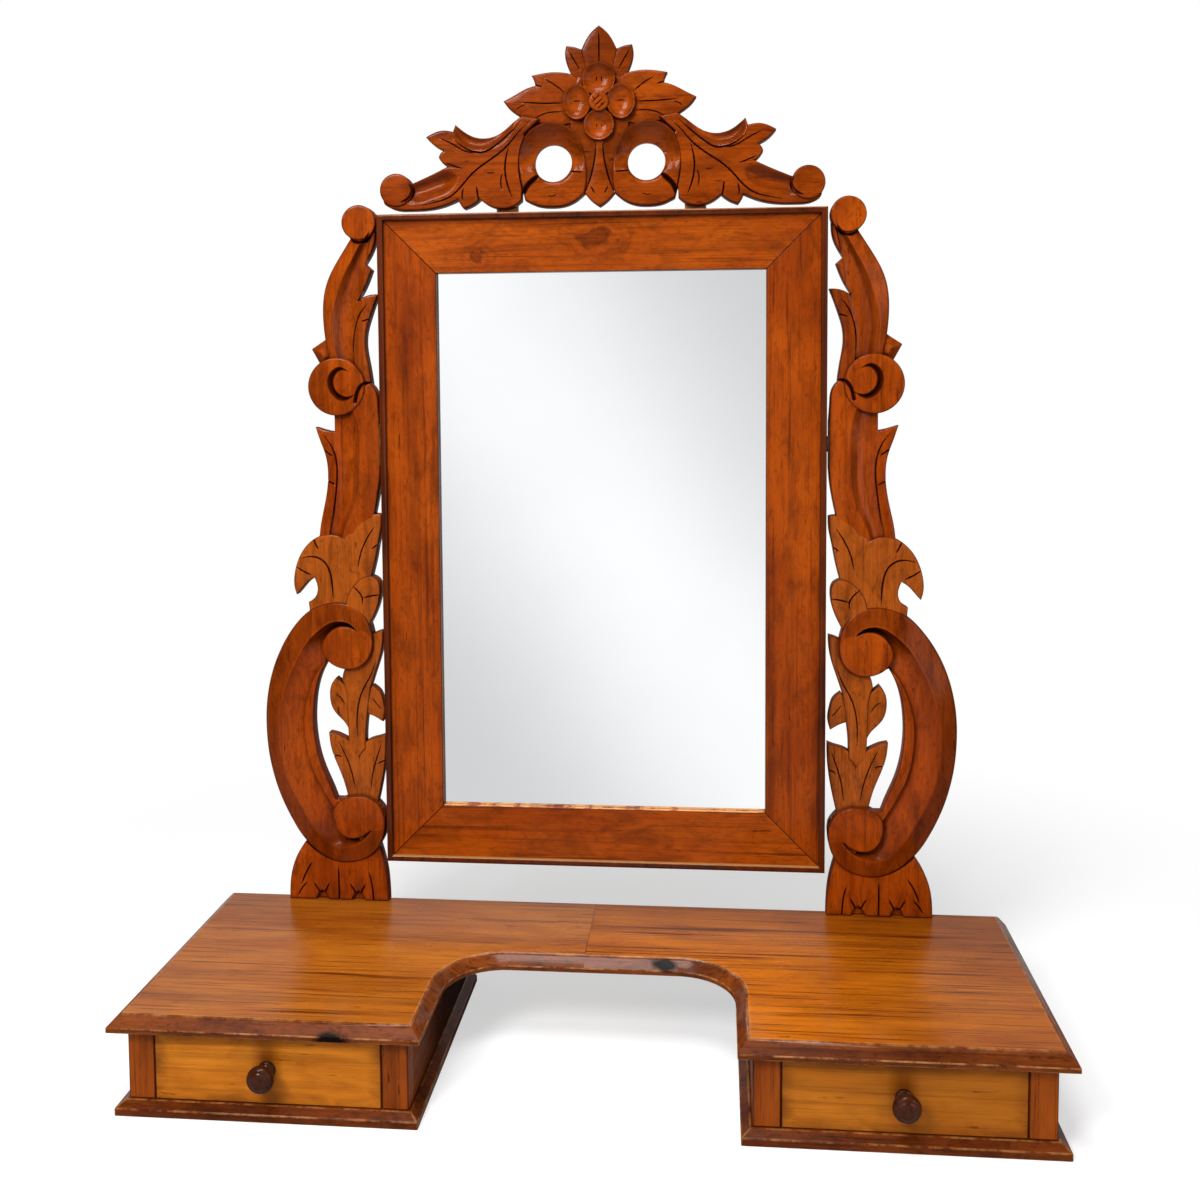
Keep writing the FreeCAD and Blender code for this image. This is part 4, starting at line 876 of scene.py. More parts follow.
# %% Outlines of the supports
SUPPORT_MASS_SHARES = {
    "foot": (0.8, (0.0, 0.0), [
        [(0.004, 0.022), (0.02, 0.05), (0.065, 0.083)],
        [(0.3, 0.13)],
        [(0.6, 0.1)],
        [(0.668, 0.087)],
        [(0.735, 0.068), (0.785, 0.045), (0.806, 0.022), (0.81, 0.0)],
        [(0.59, 0.0)],
        [(0.565, 0.01), (0.54, 0.013), (0.515, 0.01), (0.49, 0.0)],
        [(0.3, 0.0)],
        [(0.27, 0.01), (0.245, 0.013), (0.22, 0.01), (0.19, 0.0)],
        [(0.0, 0.0)],
    ]),
    "scroll": (0.9, (0.085, 0.147), [
        [(0.045, 0.141), (0.015, 0.132), (0.008, 0.117), (0.025, 0.097), (0.07, 0.081),
         (0.14, 0.068), (0.25, 0.0595), (0.36, 0.0575), (0.47, 0.062), (0.57, 0.0715),
         (0.668, 0.0865), (0.765, 0.109), (0.825, 0.129), (0.885, 0.154), (0.935, 0.183),
         (0.97, 0.215), (0.985, 0.25), (0.982, 0.28), (0.96, 0.31), (0.92, 0.338),
         (0.865, 0.363), (0.79, 0.387), (0.7, 0.4085), (0.6, 0.425), (0.47, 0.4355),
         (0.34, 0.4375), (0.22, 0.43), (0.13, 0.415), (0.092, 0.395)],
        [(0.085, 0.378), (0.115, 0.361)],
        [(0.285, 0.352)],
        [(0.465, 0.352)],
        [(0.515, 0.335), (0.555, 0.313), (0.575, 0.29), (0.582, 0.262), (0.57, 0.235),
         (0.545, 0.212), (0.5, 0.188), (0.45, 0.167), (0.415, 0.15)],
        [(0.25, 0.15)],
        [(0.085, 0.147)],
    ]),
    "tulip_inner": (0.62, (0.085, 0.14), [
        [(0.045, 0.172), (0.022, 0.195), (0.005, 0.225), (0.003, 0.246)],
        [(0.06, 0.242), (0.12, 0.239), (0.17, 0.234), (0.22, 0.22)],
        [(0.23, 0.19), (0.21, 0.14)],
        [(0.085, 0.14)],
    ]),
    "tulip_outer": (0.66, (0.2, 0.14), [
        [(0.205, 0.19), (0.225, 0.22)],
        [(0.27, 0.232), (0.34, 0.24), (0.41, 0.2455), (0.465, 0.2475)],
        [(0.455, 0.23), (0.43, 0.213), (0.395, 0.197), (0.355, 0.178), (0.315, 0.15)],
        [(0.2, 0.14)],
    ]),
    "stem": (0.7, (0.165, 0.225), [
        [(0.163, 0.25), (0.15, 0.272), (0.13, 0.3), (0.118, 0.314)],
        [(0.075, 0.338), (0.035, 0.36), (0.012, 0.382), (0.008, 0.398)],
        [(0.05, 0.396), (0.12, 0.39)],
        [(0.18, 0.36), (0.315, 0.345)],
        [(0.337, 0.335), (0.347, 0.325)],
        [(0.325, 0.315), (0.31, 0.29), (0.305, 0.25), (0.3, 0.225)],
        [(0.225, 0.212)],
        [(0.165, 0.225)],
    ]),
    "leaf_inner": (0.6, (0.147, 0.275), [
        [(0.1, 0.272), (0.06, 0.268), (0.025, 0.264)],
        [(0.008, 0.277), (0.02, 0.295), (0.045, 0.308), (0.105, 0.3175)],
        [(0.2, 0.29)],
        [(0.147, 0.275)],
    ]),
    "leaf_outer": (0.6, (0.25, 0.3), [
        [(0.33, 0.3185)],
        [(0.36, 0.3225), (0.398, 0.328)],
        [(0.437, 0.318), (0.453, 0.2985), (0.43, 0.2815), (0.38, 0.27), (0.335, 0.2615),
         (0.29, 0.245)],
        [(0.25, 0.3)],
    ]),
    "bud": (0.66, (0.115, 0.405), [
        [(0.06, 0.425), (0.03, 0.442), (0.02, 0.456), (0.04, 0.471), (0.095, 0.477)],
        [(0.16, 0.4735), (0.23, 0.463), (0.29, 0.442), (0.3, 0.42)],
        [(0.115, 0.405)],
    ]),
    "pointed_leaf": (0.76, (0.1, 0.47), [
        [(0.055, 0.502), (0.028, 0.527), (0.006, 0.548), (0.003, 0.564)],
        [(0.06, 0.5655), (0.13, 0.5575), (0.2, 0.547), (0.235, 0.538)],
        [(0.27, 0.536), (0.31, 0.527)],
        [(0.36, 0.47), (0.37, 0.42)],
        [(0.2, 0.43)],
        [(0.1, 0.47)],
    ]),
    "hooked_leaf": (0.84, (0.3, 0.5285), [
        [(0.36, 0.534), (0.43, 0.5355), (0.5, 0.5335), (0.57, 0.5265), (0.64, 0.513),
         (0.69, 0.495), (0.716, 0.475), (0.715, 0.459), (0.698, 0.4485)],
        [(0.655, 0.4575), (0.6, 0.468), (0.553, 0.4735)],
        [(0.533, 0.464), (0.53, 0.4535), (0.555, 0.444), (0.603, 0.438)],
        [(0.593, 0.42)],
        [(0.28, 0.42)],
        [(0.285, 0.47), (0.3, 0.5285)],
    ]),
    "lower_band": (0.7, (0.12, 0.53), [
        [(0.06, 0.62), (0.055, 0.69), (0.12, 0.735)],
        [(0.37, 0.73)],
        [(0.37, 0.6825)],
        [(0.44, 0.685), (0.522, 0.6895)],
        [(0.485, 0.669), (0.448, 0.65), (0.43, 0.628), (0.435, 0.605), (0.465, 0.575),
         (0.495, 0.55), (0.515, 0.515)],
        [(0.12, 0.53)],
    ]),
    "lower_rim": (0.88, (0.075, 0.552), [
        [(0.035, 0.585), (0.01, 0.612), (0.0, 0.632)],
        [(0.0, 0.696)],
        [(0.01, 0.722), (0.035, 0.743), (0.085, 0.7505), (0.13, 0.743), (0.14, 0.725),
         (0.122, 0.695), (0.11, 0.66), (0.118, 0.625), (0.15, 0.59), (0.21, 0.545)],
        [(0.075, 0.552)],
    ]),
    "upper_band": (0.72, (0.06, 0.745), [
        [(0.085, 0.777), (0.107, 0.803), (0.098, 0.825), (0.07, 0.842), (0.035, 0.86), (0.0, 0.876)],
        [(0.06, 0.8755), (0.13, 0.871), (0.165, 0.867)],
        [(0.12, 0.88), (0.08, 0.895), (0.048, 0.91)],
        [(0.1, 0.9185)],
        [(0.055, 0.932), (0.022, 0.947), (0.012, 0.968)],
        [(0.137, 0.985)],
        [(0.22, 0.94), (0.3, 0.91), (0.37, 0.87), (0.38, 0.82), (0.36, 0.76)],
        [(0.06, 0.745)],
    ]),
    "upper_rim": (0.86, (0.204, 0.957), [
        [(0.29, 0.933), (0.35, 0.9155), (0.4, 0.8975), (0.43, 0.88), (0.445, 0.857), (0.443, 0.835),
         (0.43, 0.812), (0.395, 0.775)],
        [(0.345, 0.79)],
        [(0.36, 0.82), (0.35, 0.85), (0.32, 0.88), (0.28, 0.905), (0.22, 0.927), (0.16, 0.955)],
        [(0.204, 0.957)],
    ]),
    "spur": (0.66, (0.4, 0.818), [
        [(0.55, 0.8)],
        [(0.46, 0.77)],
        [(0.36, 0.785)],
        [(0.4, 0.818)],
    ]),
}

# Round masses: how much of the thickness they fill, the centre, and the radius as a share of the width.
SUPPORT_DISC_SHARES = {
    "great_volute": (1.0, (0.335, 0.7465), 0.225),
    "top_ball": (0.97, (0.137, 0.97581), 0.1333),
}
print(len(SUPPORT_MASS_SHARES) + len(SUPPORT_DISC_SHARES), "masses on a support")

# %% Outlines of the crest
CREST_MIDDLE_SHARES = {
    "finial": (0.55, (0.0, 1.0), [
        [(0.035, 0.963), (0.062, 0.915), (0.08, 0.868)],
        [(0.06, 0.76)],
        [(-0.06, 0.76)],
        [(-0.08, 0.868)],
        [(-0.062, 0.915), (-0.035, 0.963), (0.0, 1.0)],
    ]),
    "ground": (0.5, (0.06, 0.09), [
        [(0.12, 0.3)],
        [(0.14, 0.62)],
        [(0.09, 0.72)],
        [(-0.09, 0.72)],
        [(-0.14, 0.62)],
        [(-0.12, 0.3)],
        [(-0.06, 0.09)],
        [(0.06, 0.09)],
    ]),
    "drop": (0.72, (0.0, 0.003), [
        [(0.04, 0.04), (0.067, 0.078)],
        [(0.05, 0.13), (0.033, 0.2), (0.02, 0.28), (0.018, 0.38)],
        [(-0.018, 0.38)],
        [(-0.02, 0.28), (-0.033, 0.2), (-0.05, 0.13), (-0.067, 0.078)],
        [(-0.04, 0.04), (0.0, 0.003)],
    ]),
}
CREST_SIDE_SHARES = {
    "finial_leaf": (0.48, (0.078, 0.872), [
        [(0.11, 0.887), (0.148, 0.894)],
        [(0.153, 0.86), (0.147, 0.8), (0.122, 0.725)],
        [(0.07, 0.66)],
        [(0.03, 0.72)],
        [(0.055, 0.82), (0.078, 0.872)],
    ]),
    "upper_leaf": (0.66, (0.08, 0.7), [
        [(0.115, 0.732), (0.165, 0.748), (0.215, 0.751), (0.26, 0.745), (0.305, 0.735)],
        [(0.293, 0.705), (0.288, 0.68)],
        [(0.33, 0.664), (0.375, 0.635), (0.433, 0.598)],
        [(0.41, 0.56), (0.38, 0.53), (0.345, 0.5)],
        [(0.2, 0.44)],
        [(0.05, 0.5)],
        [(0.08, 0.7)],
    ]),
    "curl": (0.8, (0.27, 0.49), [
        [(0.348, 0.509)],
        [(0.41, 0.455), (0.47, 0.41), (0.53, 0.395), (0.59, 0.415), (0.65, 0.47)],
        [(0.663, 0.425)],
        [(0.64, 0.36)],
        [(0.58, 0.31), (0.5, 0.3), (0.4, 0.34)],
        [(0.27, 0.49)],
    ]),
    "side_leaves": (0.66, (0.6, 0.38), [
        [(0.655, 0.43)],
        [(0.7, 0.44), (0.745, 0.43), (0.785, 0.405)],
        [(0.755, 0.365), (0.705, 0.328)],
        [(0.722, 0.31), (0.728, 0.29)],
        [(0.708, 0.255), (0.68, 0.232)],
        [(0.55, 0.2)],
        [(0.45, 0.32)],
        [(0.6, 0.38)],
    ]),
    "arm": (0.85, (0.6, 0.235), [
        [(0.69, 0.238)],
        [(0.765, 0.195), (0.875, 0.14)],
        [(0.95, 0.1)],
        [(0.985, 0.047), (0.945, 0.01), (0.88, 0.0), (0.8, 0.002), (0.71, 0.022), (0.643, 0.055)],
        [(0.55, 0.14)],
        [(0.6, 0.235)],
    ]),
    "lobes": (0.78, (0.645, 0.07), [
        [(0.635, 0.035), (0.6175, 0.003)],
        [(0.575, 0.025), (0.543, 0.055)],
        [(0.515, 0.028), (0.475, 0.006), (0.425, 0.001), (0.38, 0.018), (0.353, 0.045)],
        [(0.35, 0.1), (0.33, 0.15), (0.28, 0.2)],
        [(0.3, 0.32)],
        [(0.36, 0.45)],
        [(0.5, 0.35)],
        [(0.62, 0.22)],
        [(0.645, 0.07)],
    ]),
    "ring": (0.74, (0.068, 0.077), [
        [(0.058, 0.15), (0.068, 0.28), (0.11, 0.41), (0.22, 0.472), (0.32, 0.42), (0.362, 0.3),
         (0.358, 0.15), (0.337, 0.044)],
        [(0.28, 0.012), (0.22, 0.003), (0.165, 0.008), (0.11, 0.035), (0.068, 0.077)],
    ]),
}

# Round masses and eye holes of the crest, with the radius as a share of half the crest's width.
CREST_DISC_SHARES = {
    "petal_top": (0.9, (0.0, 0.702), 0.0742),
    "petal_bottom": (0.9, (0.0, 0.452), 0.069),
    "petal_left": (0.9, (-0.099, 0.578), 0.064),
    "petal_right": (0.9, (0.099, 0.578), 0.064),
    "flower_button": (1.0, (0.0, 0.577), 0.045),
    "ball_left": (0.95, (-0.9258, 0.113), 0.0742),
    "ball_right": (0.95, (0.9258, 0.113), 0.0742),
}
CREST_EYE_SHARES = {
    "eye_left": ((-0.21, 0.25), 0.0843),
    "eye_right": ((0.21, 0.25), 0.0843),
}
print(len(CREST_MIDDLE_SHARES) + 2 * len(CREST_SIDE_SHARES) + len(CREST_DISC_SHARES), "masses on the crest")

# %% [markdown]
# A carved board is made as one skin. Points are laid on every outline, in rows just inside and just outside
# it, along every cut and in an even grid between them. A Delaunay triangulation joins them so that no
# triangle crosses an outline. Each point is then lifted to the highest mass above it, less the cuts. The
# border is extruded back and filled, which closes the board. A displacement map could not give the crisp
# steps between the masses, and joining separate solids would leave hard seams without rounded edges.

# %% Points of the skin
GRID = 1.6
ROW_OFFSETS = (-0.3, 0.5, 1.2, 2.4)
CUT_ROW_SHARES = (-1.25, -1, -0.5, 0.5, 1, 1.25)


def normals_of(run):
    """Unit vectors square to some runs."""
    return np.column_stack([-run[:, 1], run[:, 0]]) / np.hypot(*run.T)[:, None]


def offset_rows(loop):
    """Points in rows inside and outside a loop, without those that fold over at corners."""
    normal = normals_of(np.roll(loop, -1, axis=0) - np.roll(loop, 1, axis=0))
    area = np.sum(loop[:, 0] * np.roll(loop[:, 1], -1) - np.roll(loop[:, 0], -1) * loop[:, 1])
    rows = []
    for offset in ROW_OFFSETS:
        row = loop + normal * offset * np.sign(area)
        rows.append(row[np.abs(depth_inside(row, loop) - offset) < 0.1])
    return np.concatenate(rows)


def cut_rows(path, widths):
    """Points in rows beside a cut, at half of its half width, at all of it and just beyond."""
    normal = normals_of(np.gradient(path, axis=0))
    return np.concatenate([path + normal * widths[:, None] * share for share in CUT_ROW_SHARES])


def far_from(points, others, reach):
    """Those of some points that lie farther than a reach from all the others."""
    tree = KDTree(len(others))
    for number, other in enumerate(others):
        tree.insert((*other, 0), number)
    tree.balance()
    return points[[tree.find((*point, 0))[2] > reach for point in points]]


def on_any(points, masses):
    """Whether each point lies on one of the masses."""
    return np.any([depth_inside(points, mass["loop"]) > 0 for mass in masses], axis=0)


def even_grid(masses):
    """Points in a grid of equal triangles, where there are masses."""
    loops = np.concatenate([mass["loop"] for mass in masses])
    low, high = loops.min(axis=0), loops.max(axis=0)
    across = np.arange(low[0], high[0], GRID)
    up = np.arange(low[1], high[1], GRID * 0.866)
    grid = np.stack(np.meshgrid(across, up), axis=-1)
    grid[1::2, :, 0] += GRID / 2
    grid = grid.reshape(-1, 2)
    return grid[on_any(grid, masses)]


print("points can be laid")

# %% Heights of the skin
LOWEST = 2.0


def cut_depths(points, cut):
    """How deep a cut is at each point: V-shaped if it is sharp, and a round hollow if it is not."""
    path, widths = cut["path"], cut["widths"]
    deepest = np.zeros(len(points))
    for first, last, start, end in zip(path[:-1], path[1:], widths[:-1], widths[1:]):
        run = last - first
        t = np.clip((points - first) @ run / (run @ run), 0, 1)
        half = start + (end - start) * t
        away = np.hypot(*(points - first - t[:, None] * run).T) / half
        shape = 1 - away if cut["sharp"] else 0.5 + 0.5 * np.cos(math.pi * np.minimum(away, 1))
        deepest = np.maximum(deepest, cut["depth"] * half / widths.max() * np.maximum(shape, 0))
    return deepest


def top_masses(points, masses):
    """The height of the masses over each point, and the number of the one on top."""
    height = np.zeros(len(points))
    top = np.full(len(points), -1)
    for number, mass in enumerate(masses):
        depth = depth_inside(points, mass["loop"])
        on = np.flatnonzero(depth > -0.02)
        rise = mass["rise"](points[on], np.maximum(depth[on], 0))
        higher = (rise > height[on]) | mass.get("cuts_away", False)
        height[on[higher]] = rise[higher]
        top[on[higher]] = number
    return height, top


def lifted(points, masses, cuts):
    """The height of the carving over each point, how dark its stains, cuts and painted shade make it, and
    which mass is on top.
    """
    height, top = top_masses(points, masses)
    groove = np.zeros(len(points))
    # Stains and painted shade in hollows, bowls and on the ground, from the masses.
    for number, mass in enumerate(masses):
        if "stain" in mass:
            groove[top == number] = mass["stain"](points[top == number])
    proud = np.array([mass.get("proud", False) for mass in masses])
    for cut in cuts:
        path, reach = cut["path"], cut["widths"].max() * 1.3
        near = np.all((points > path.min(axis=0) - reach) & (points < path.max(axis=0) + reach), axis=1)
        deep = cut_depths(points[near], cut)
        # Sharp cuts are marked dark: dirt and painted shade in the cut.
        if cut["sharp"]:
            groove[near] = np.maximum(groove[near], deep)
        else:
            deep[proud[top[near]]] = 0
        height[near] -= deep
    return np.maximum(height, LOWEST), groove, top


print("points can be lifted")

# %% Skin and board
STEP_WIDTHS = (0.32, 1.2)
ROW_SPACING = 0.3
LINE_CLEARANCE = 0.22
GRID_CLEARANCE = 0.75


def triangles_between(points, edges, masses, holes):
    """The points that are used and the triangles between them, on the masses and outside the holes."""
    points, _, triangles, *_ = delaunay_2d_cdt([Vector(point) for point in points], edges, [], 0, 0.01)
    points = np.array([tuple(point) for point in points])
    triangles = np.array(triangles)
    middles = points[triangles].mean(axis=1)
    kept = on_any(middles, masses)
    for hole in holes:
        kept &= depth_inside(middles, hole) < 0
    used, triangles = np.unique(triangles[kept], return_inverse=True)
    return points[used], triangles.reshape(-1, 3)


def carved_skin(masses, cuts, holes, steps):
    """Points, triangles, heights, dark marks of stains, cuts and painted shade, and top masses of a carved
    board.
    """
    loops = [mass["loop"] for mass in masses] + holes
    sharp_cuts = [cut for cut in cuts if cut["sharp"]]
    lines = [(loop, True) for loop in loops]
    lines += [(cut["path"], False) for cut in sharp_cuts]
    lines += [(step, False) for step in steps]
    points, edges = [], []
    for line, closed in lines:
        numbers = list(range(len(points), len(points) + len(line)))
        points += line.tolist()
        edges += zip(numbers, numbers[1:] + numbers[:1] if closed else numbers[1:])
    loose = [offset_rows(loop) for loop in loops]
    loose += [cut_rows(cut["path"], cut["widths"]) for cut in sharp_cuts]
    loose += [cut_rows(step, np.full(len(step), width)) for step in steps for width in STEP_WIDTHS]
    loose = np.concatenate(loose)
    loose = loose[np.unique(np.round(loose / ROW_SPACING), axis=0, return_index=True)[1]]
    points += far_from(loose, points, LINE_CLEARANCE).tolist()
    points += far_from(even_grid(masses), points, GRID_CLEARANCE).tolist()
    points, triangles = triangles_between(points, edges, masses, holes)
    return (points, triangles) + lifted(points, masses, cuts)


def carved_board(name, skin, pale_masses, place, back):
    """A closed board from a carved skin, with its cuts, stains and painted shade and its paler masses
    marked.
    """
    points, triangles, height, groove, top = skin
    mesh = bpy.data.meshes.new(name)
    corners = [place(across, up, rise) for (across, up), rise in zip(points.tolist(), height)]
    mesh.from_pydata(corners, [], triangles.tolist())
    for layer, amounts in (("groove", groove), ("pale", np.isin(top, pale_masses))):
        mesh.attributes.new(layer, "FLOAT", "POINT").data.foreach_set("value", amounts.astype(np.float32))
    bm = bmesh.new()
    bm.from_mesh(mesh)
    border = [edge for edge in bm.edges if edge.is_boundary]
    made = bmesh.ops.extrude_edge_only(bm, edges=border)["geom"]
    marks = [bm.verts.layers.float[layer] for layer in ("groove", "pale")]
    for vert in made:
        if isinstance(vert, bmesh.types.BMVert):
            vert.co.y = back
            for layer in marks:
                vert[layer] = 0
    rim = [edge for edge in made if isinstance(edge, bmesh.types.BMEdge) and edge.is_boundary]
    bmesh.ops.triangle_fill(bm, edges=rim, use_beauty=True, use_dissolve=False)
    bmesh.ops.recalc_face_normals(bm, faces=bm.faces)
    open_edges = sum(not edge.is_manifold for edge in bm.edges)
    for face in bm.faces:
        face.smooth = True
    piece = piece_from(bm, name)
    piece.data.set_sharp_from_angle(angle=math.radians(38))
    print(name, len(piece.data.polygons), "faces,", open_edges, "open edges")
    return piece


print("boards can be carved")

# %% [markdown]
# A gouge leaves a cut that is deepest in its middle and runs out at its ends. A cut from the edge of a leaf
# is blunt there, and a soft cut is a wide round hollow. Each cut is a row of a table: its half width and
# its depth in millimetres, its kind, and its path in shares like those of the outlines.

# %% Cuts
CUT_SPACING = 0.8
NARROWEST_SHARE = 0.12


def cut_widths(path, width, blunt):
    """The half width of a cut along its path: tapered to both ends, or blunt at its first end."""
    along = np.linspace(0, 1, len(path))
    taper = np.minimum(1, np.minimum(along + blunt, 1 - along) * 3.2)
    return width * np.maximum(NARROWEST_SHARE, np.sin(taper * math.pi / 2))


def cuts_from(rows, size):
    """The cuts of a table, with their paths in millimetres."""
    made = []
    for width, depth, kind, path in rows:
        line = stroke(np.array(path) * size, CUT_SPACING)
        widths = cut_widths(line, width, 1.0 if kind == "blunt" else 0.0)
        made.append({"path": line, "widths": widths, "depth": depth, "sharp": kind != "soft"})
    return made


print("cuts can be made")

# %% [markdown]
# The profiles say how far the face of each mass drops, in millimetres, at some distances from its edge,
# also in millimetres. A button is nearly flat with a rounded edge, a leaf swells from its edge to its
# middle, and a petal is a dish with a thin rim.

# %% Profiles of the masses
ROUND_EDGE = [(0, 1.3), (0.5, 0.5), (1.2, 0.15), (2.4, 0)]
LEAF = [(0, 1.8), (0.5, 1.0), (1.2, 0.65), (2.4, 0.45), (6, 0.15), (12, 0)]
SWELLING = [(0, 3.0), (0.5, 2.2), (1.2, 1.7), (2.4, 1.3), (8, 0.6), (18, 0)]
BUTTON = [(0, 1.4), (0.5, 0.6), (1.2, 0.3), (2.4, 0.15), (6, 0.05), (14, 0)]
DISH = [(0, 0.9), (0.4, 0.25), (1, 0.3), (2, 1.0), (4, 2.5), (7, 4.0), (11, 5.0), (17, 5.4)]
ROOF = [(0, 6.5), (9, 0)]
TOUCHING = 0.02
HAIR = 0.01


def read_off(profile, where):
    """What a profile says at some distances or shares."""
    return np.interp(where, *zip(*profile))


def fall(depth, profile):
    """A rise function: a mass of a given height that falls away near its edge as a profile says."""
    return lambda points, inside: depth - read_off(profile, inside)


def share_between(near, far):
    """How far a point is on the way from one line to another, from 0 to 1."""
    return near / np.maximum(near + far, HAIR)


print("profiles ready")

# %% [markdown]
# The support's great C-scroll has a profile of its own: a flat rim along its inner edge, a crisp step
# down, then a deep cove that rises to a ridge near the outer edge, and a bevel outside that. The same cove
# narrows and winds round the buttons of both volutes. Each of the two bands above it is a leaf that folds
# into a hollow, and the hollow climbs to a ridge. All of these are drawn over a few lines.

# %% Lines and levels of the supports
# The width and the height that the shares of a support are taken of, in millimetres.
SUPPORT_SIZE = np.array((135, 744))
support_low, support_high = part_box("support_right")
SUPPORT_THICKNESS = (support_high[1] - support_low[1]) / mm
SUPPORT_LINE_SHARES = {
    "scroll_ridge": [
        (0.213, 0.4), (0.261, 0.4074), (0.337, 0.4115), (0.413, 0.4097), (0.495, 0.401), (0.598, 0.3835),
        (0.686, 0.3585), (0.757, 0.3334), (0.813, 0.3032), (0.847, 0.273), (0.852, 0.2425), (0.834, 0.212),
        (0.791, 0.181), (0.719, 0.152), (0.623, 0.1208), (0.547, 0.101), (0.471, 0.0888), (0.384, 0.0821),
        (0.285, 0.0837), (0.197, 0.0915), (0.128, 0.1044)],
    "scroll_step": [
        (0.38, 0.36), (0.454, 0.353), (0.514, 0.344), (0.579, 0.325), (0.626, 0.3026), (0.652, 0.2824),
        (0.661, 0.262), (0.657, 0.242), (0.641, 0.2213), (0.608, 0.1987), (0.554, 0.176), (0.49, 0.155),
        (0.431, 0.1384), (0.36, 0.122)],
    "upper_fold": [
        (0.043, 0.957), (0.07, 0.937), (0.09, 0.918), (0.115, 0.89), (0.135, 0.865), (0.17, 0.84),
        (0.192, 0.815), (0.195, 0.79), (0.185, 0.765)],
    "upper_ridge": [
        (0.123, 0.948), (0.202, 0.9216), (0.267, 0.8996), (0.323, 0.8727), (0.356, 0.849), (0.362, 0.8238),
        (0.344, 0.802), (0.322, 0.7834)],
    "lower_fold": [
        (0.37, 0.735), (0.398, 0.69), (0.38, 0.66), (0.354, 0.63), (0.355, 0.605), (0.375, 0.5836),
        (0.416, 0.5426), (0.44, 0.516)],
    "lower_ridge": [
        (0.32, 0.528), (0.295, 0.5455), (0.204, 0.5785), (0.17, 0.61), (0.16, 0.648), (0.16, 0.68),
        (0.204, 0.7135), (0.245, 0.735)],
}
BUTTON_SHARES = {
    "upper_button": (1.0, (0.213, 0.3984), [
        [(0.267, 0.4023), (0.338, 0.4035), (0.403, 0.3992), (0.457, 0.3896), (0.49, 0.377), (0.483, 0.364),
         (0.448, 0.354), (0.373, 0.345), (0.28, 0.342), (0.182, 0.347), (0.115, 0.36), (0.088, 0.376),
         (0.1, 0.391), (0.153, 0.3985), (0.213, 0.3984)],
    ]),
    "lower_button": (1.0, (0.128, 0.106), [
        [(0.197, 0.0977), (0.274, 0.094), (0.35, 0.0978), (0.405, 0.1095), (0.426, 0.123), (0.423, 0.1363),
         (0.381, 0.1475), (0.315, 0.1539), (0.228, 0.1564), (0.129, 0.153), (0.045, 0.141), (0.014, 0.124),
         (0.025, 0.109), (0.075, 0.1055), (0.128, 0.106)],
    ]),
}
FOOT_BACK_SHARES = {
    "foot_back": (0.45, (0.15, 0.0), [[(0.15, 0.03)], [(0.65, 0.03)], [(0.65, 0.0)], [(0.15, 0.0)]]),
}
SUPPORT_LEVEL_SHARES = {"pointed_leaf": 0.77, "hooked_leaf": 0.77, "bud": 0.9}
SUPPORT_PROFILES = {
    "foot": SWELLING, "tulip_inner": LEAF, "tulip_outer": LEAF, "stem": LEAF, "leaf_inner": LEAF,
    "leaf_outer": LEAF, "bud": LEAF, "pointed_leaf": LEAF, "hooked_leaf": LEAF, "spur": ROOF,
    "foot_back": ROUND_EDGE,
    "lower_button": BUTTON, "upper_button": BUTTON, "great_volute": BUTTON, "top_ball": BUTTON,
}
PALE_MASSES = ("tulip_inner", "tulip_outer", "stem", "leaf_inner", "leaf_outer", "bud", "pointed_leaf",
               "hooked_leaf")
print("lines of a support:", ", ".join(SUPPORT_LINE_SHARES))

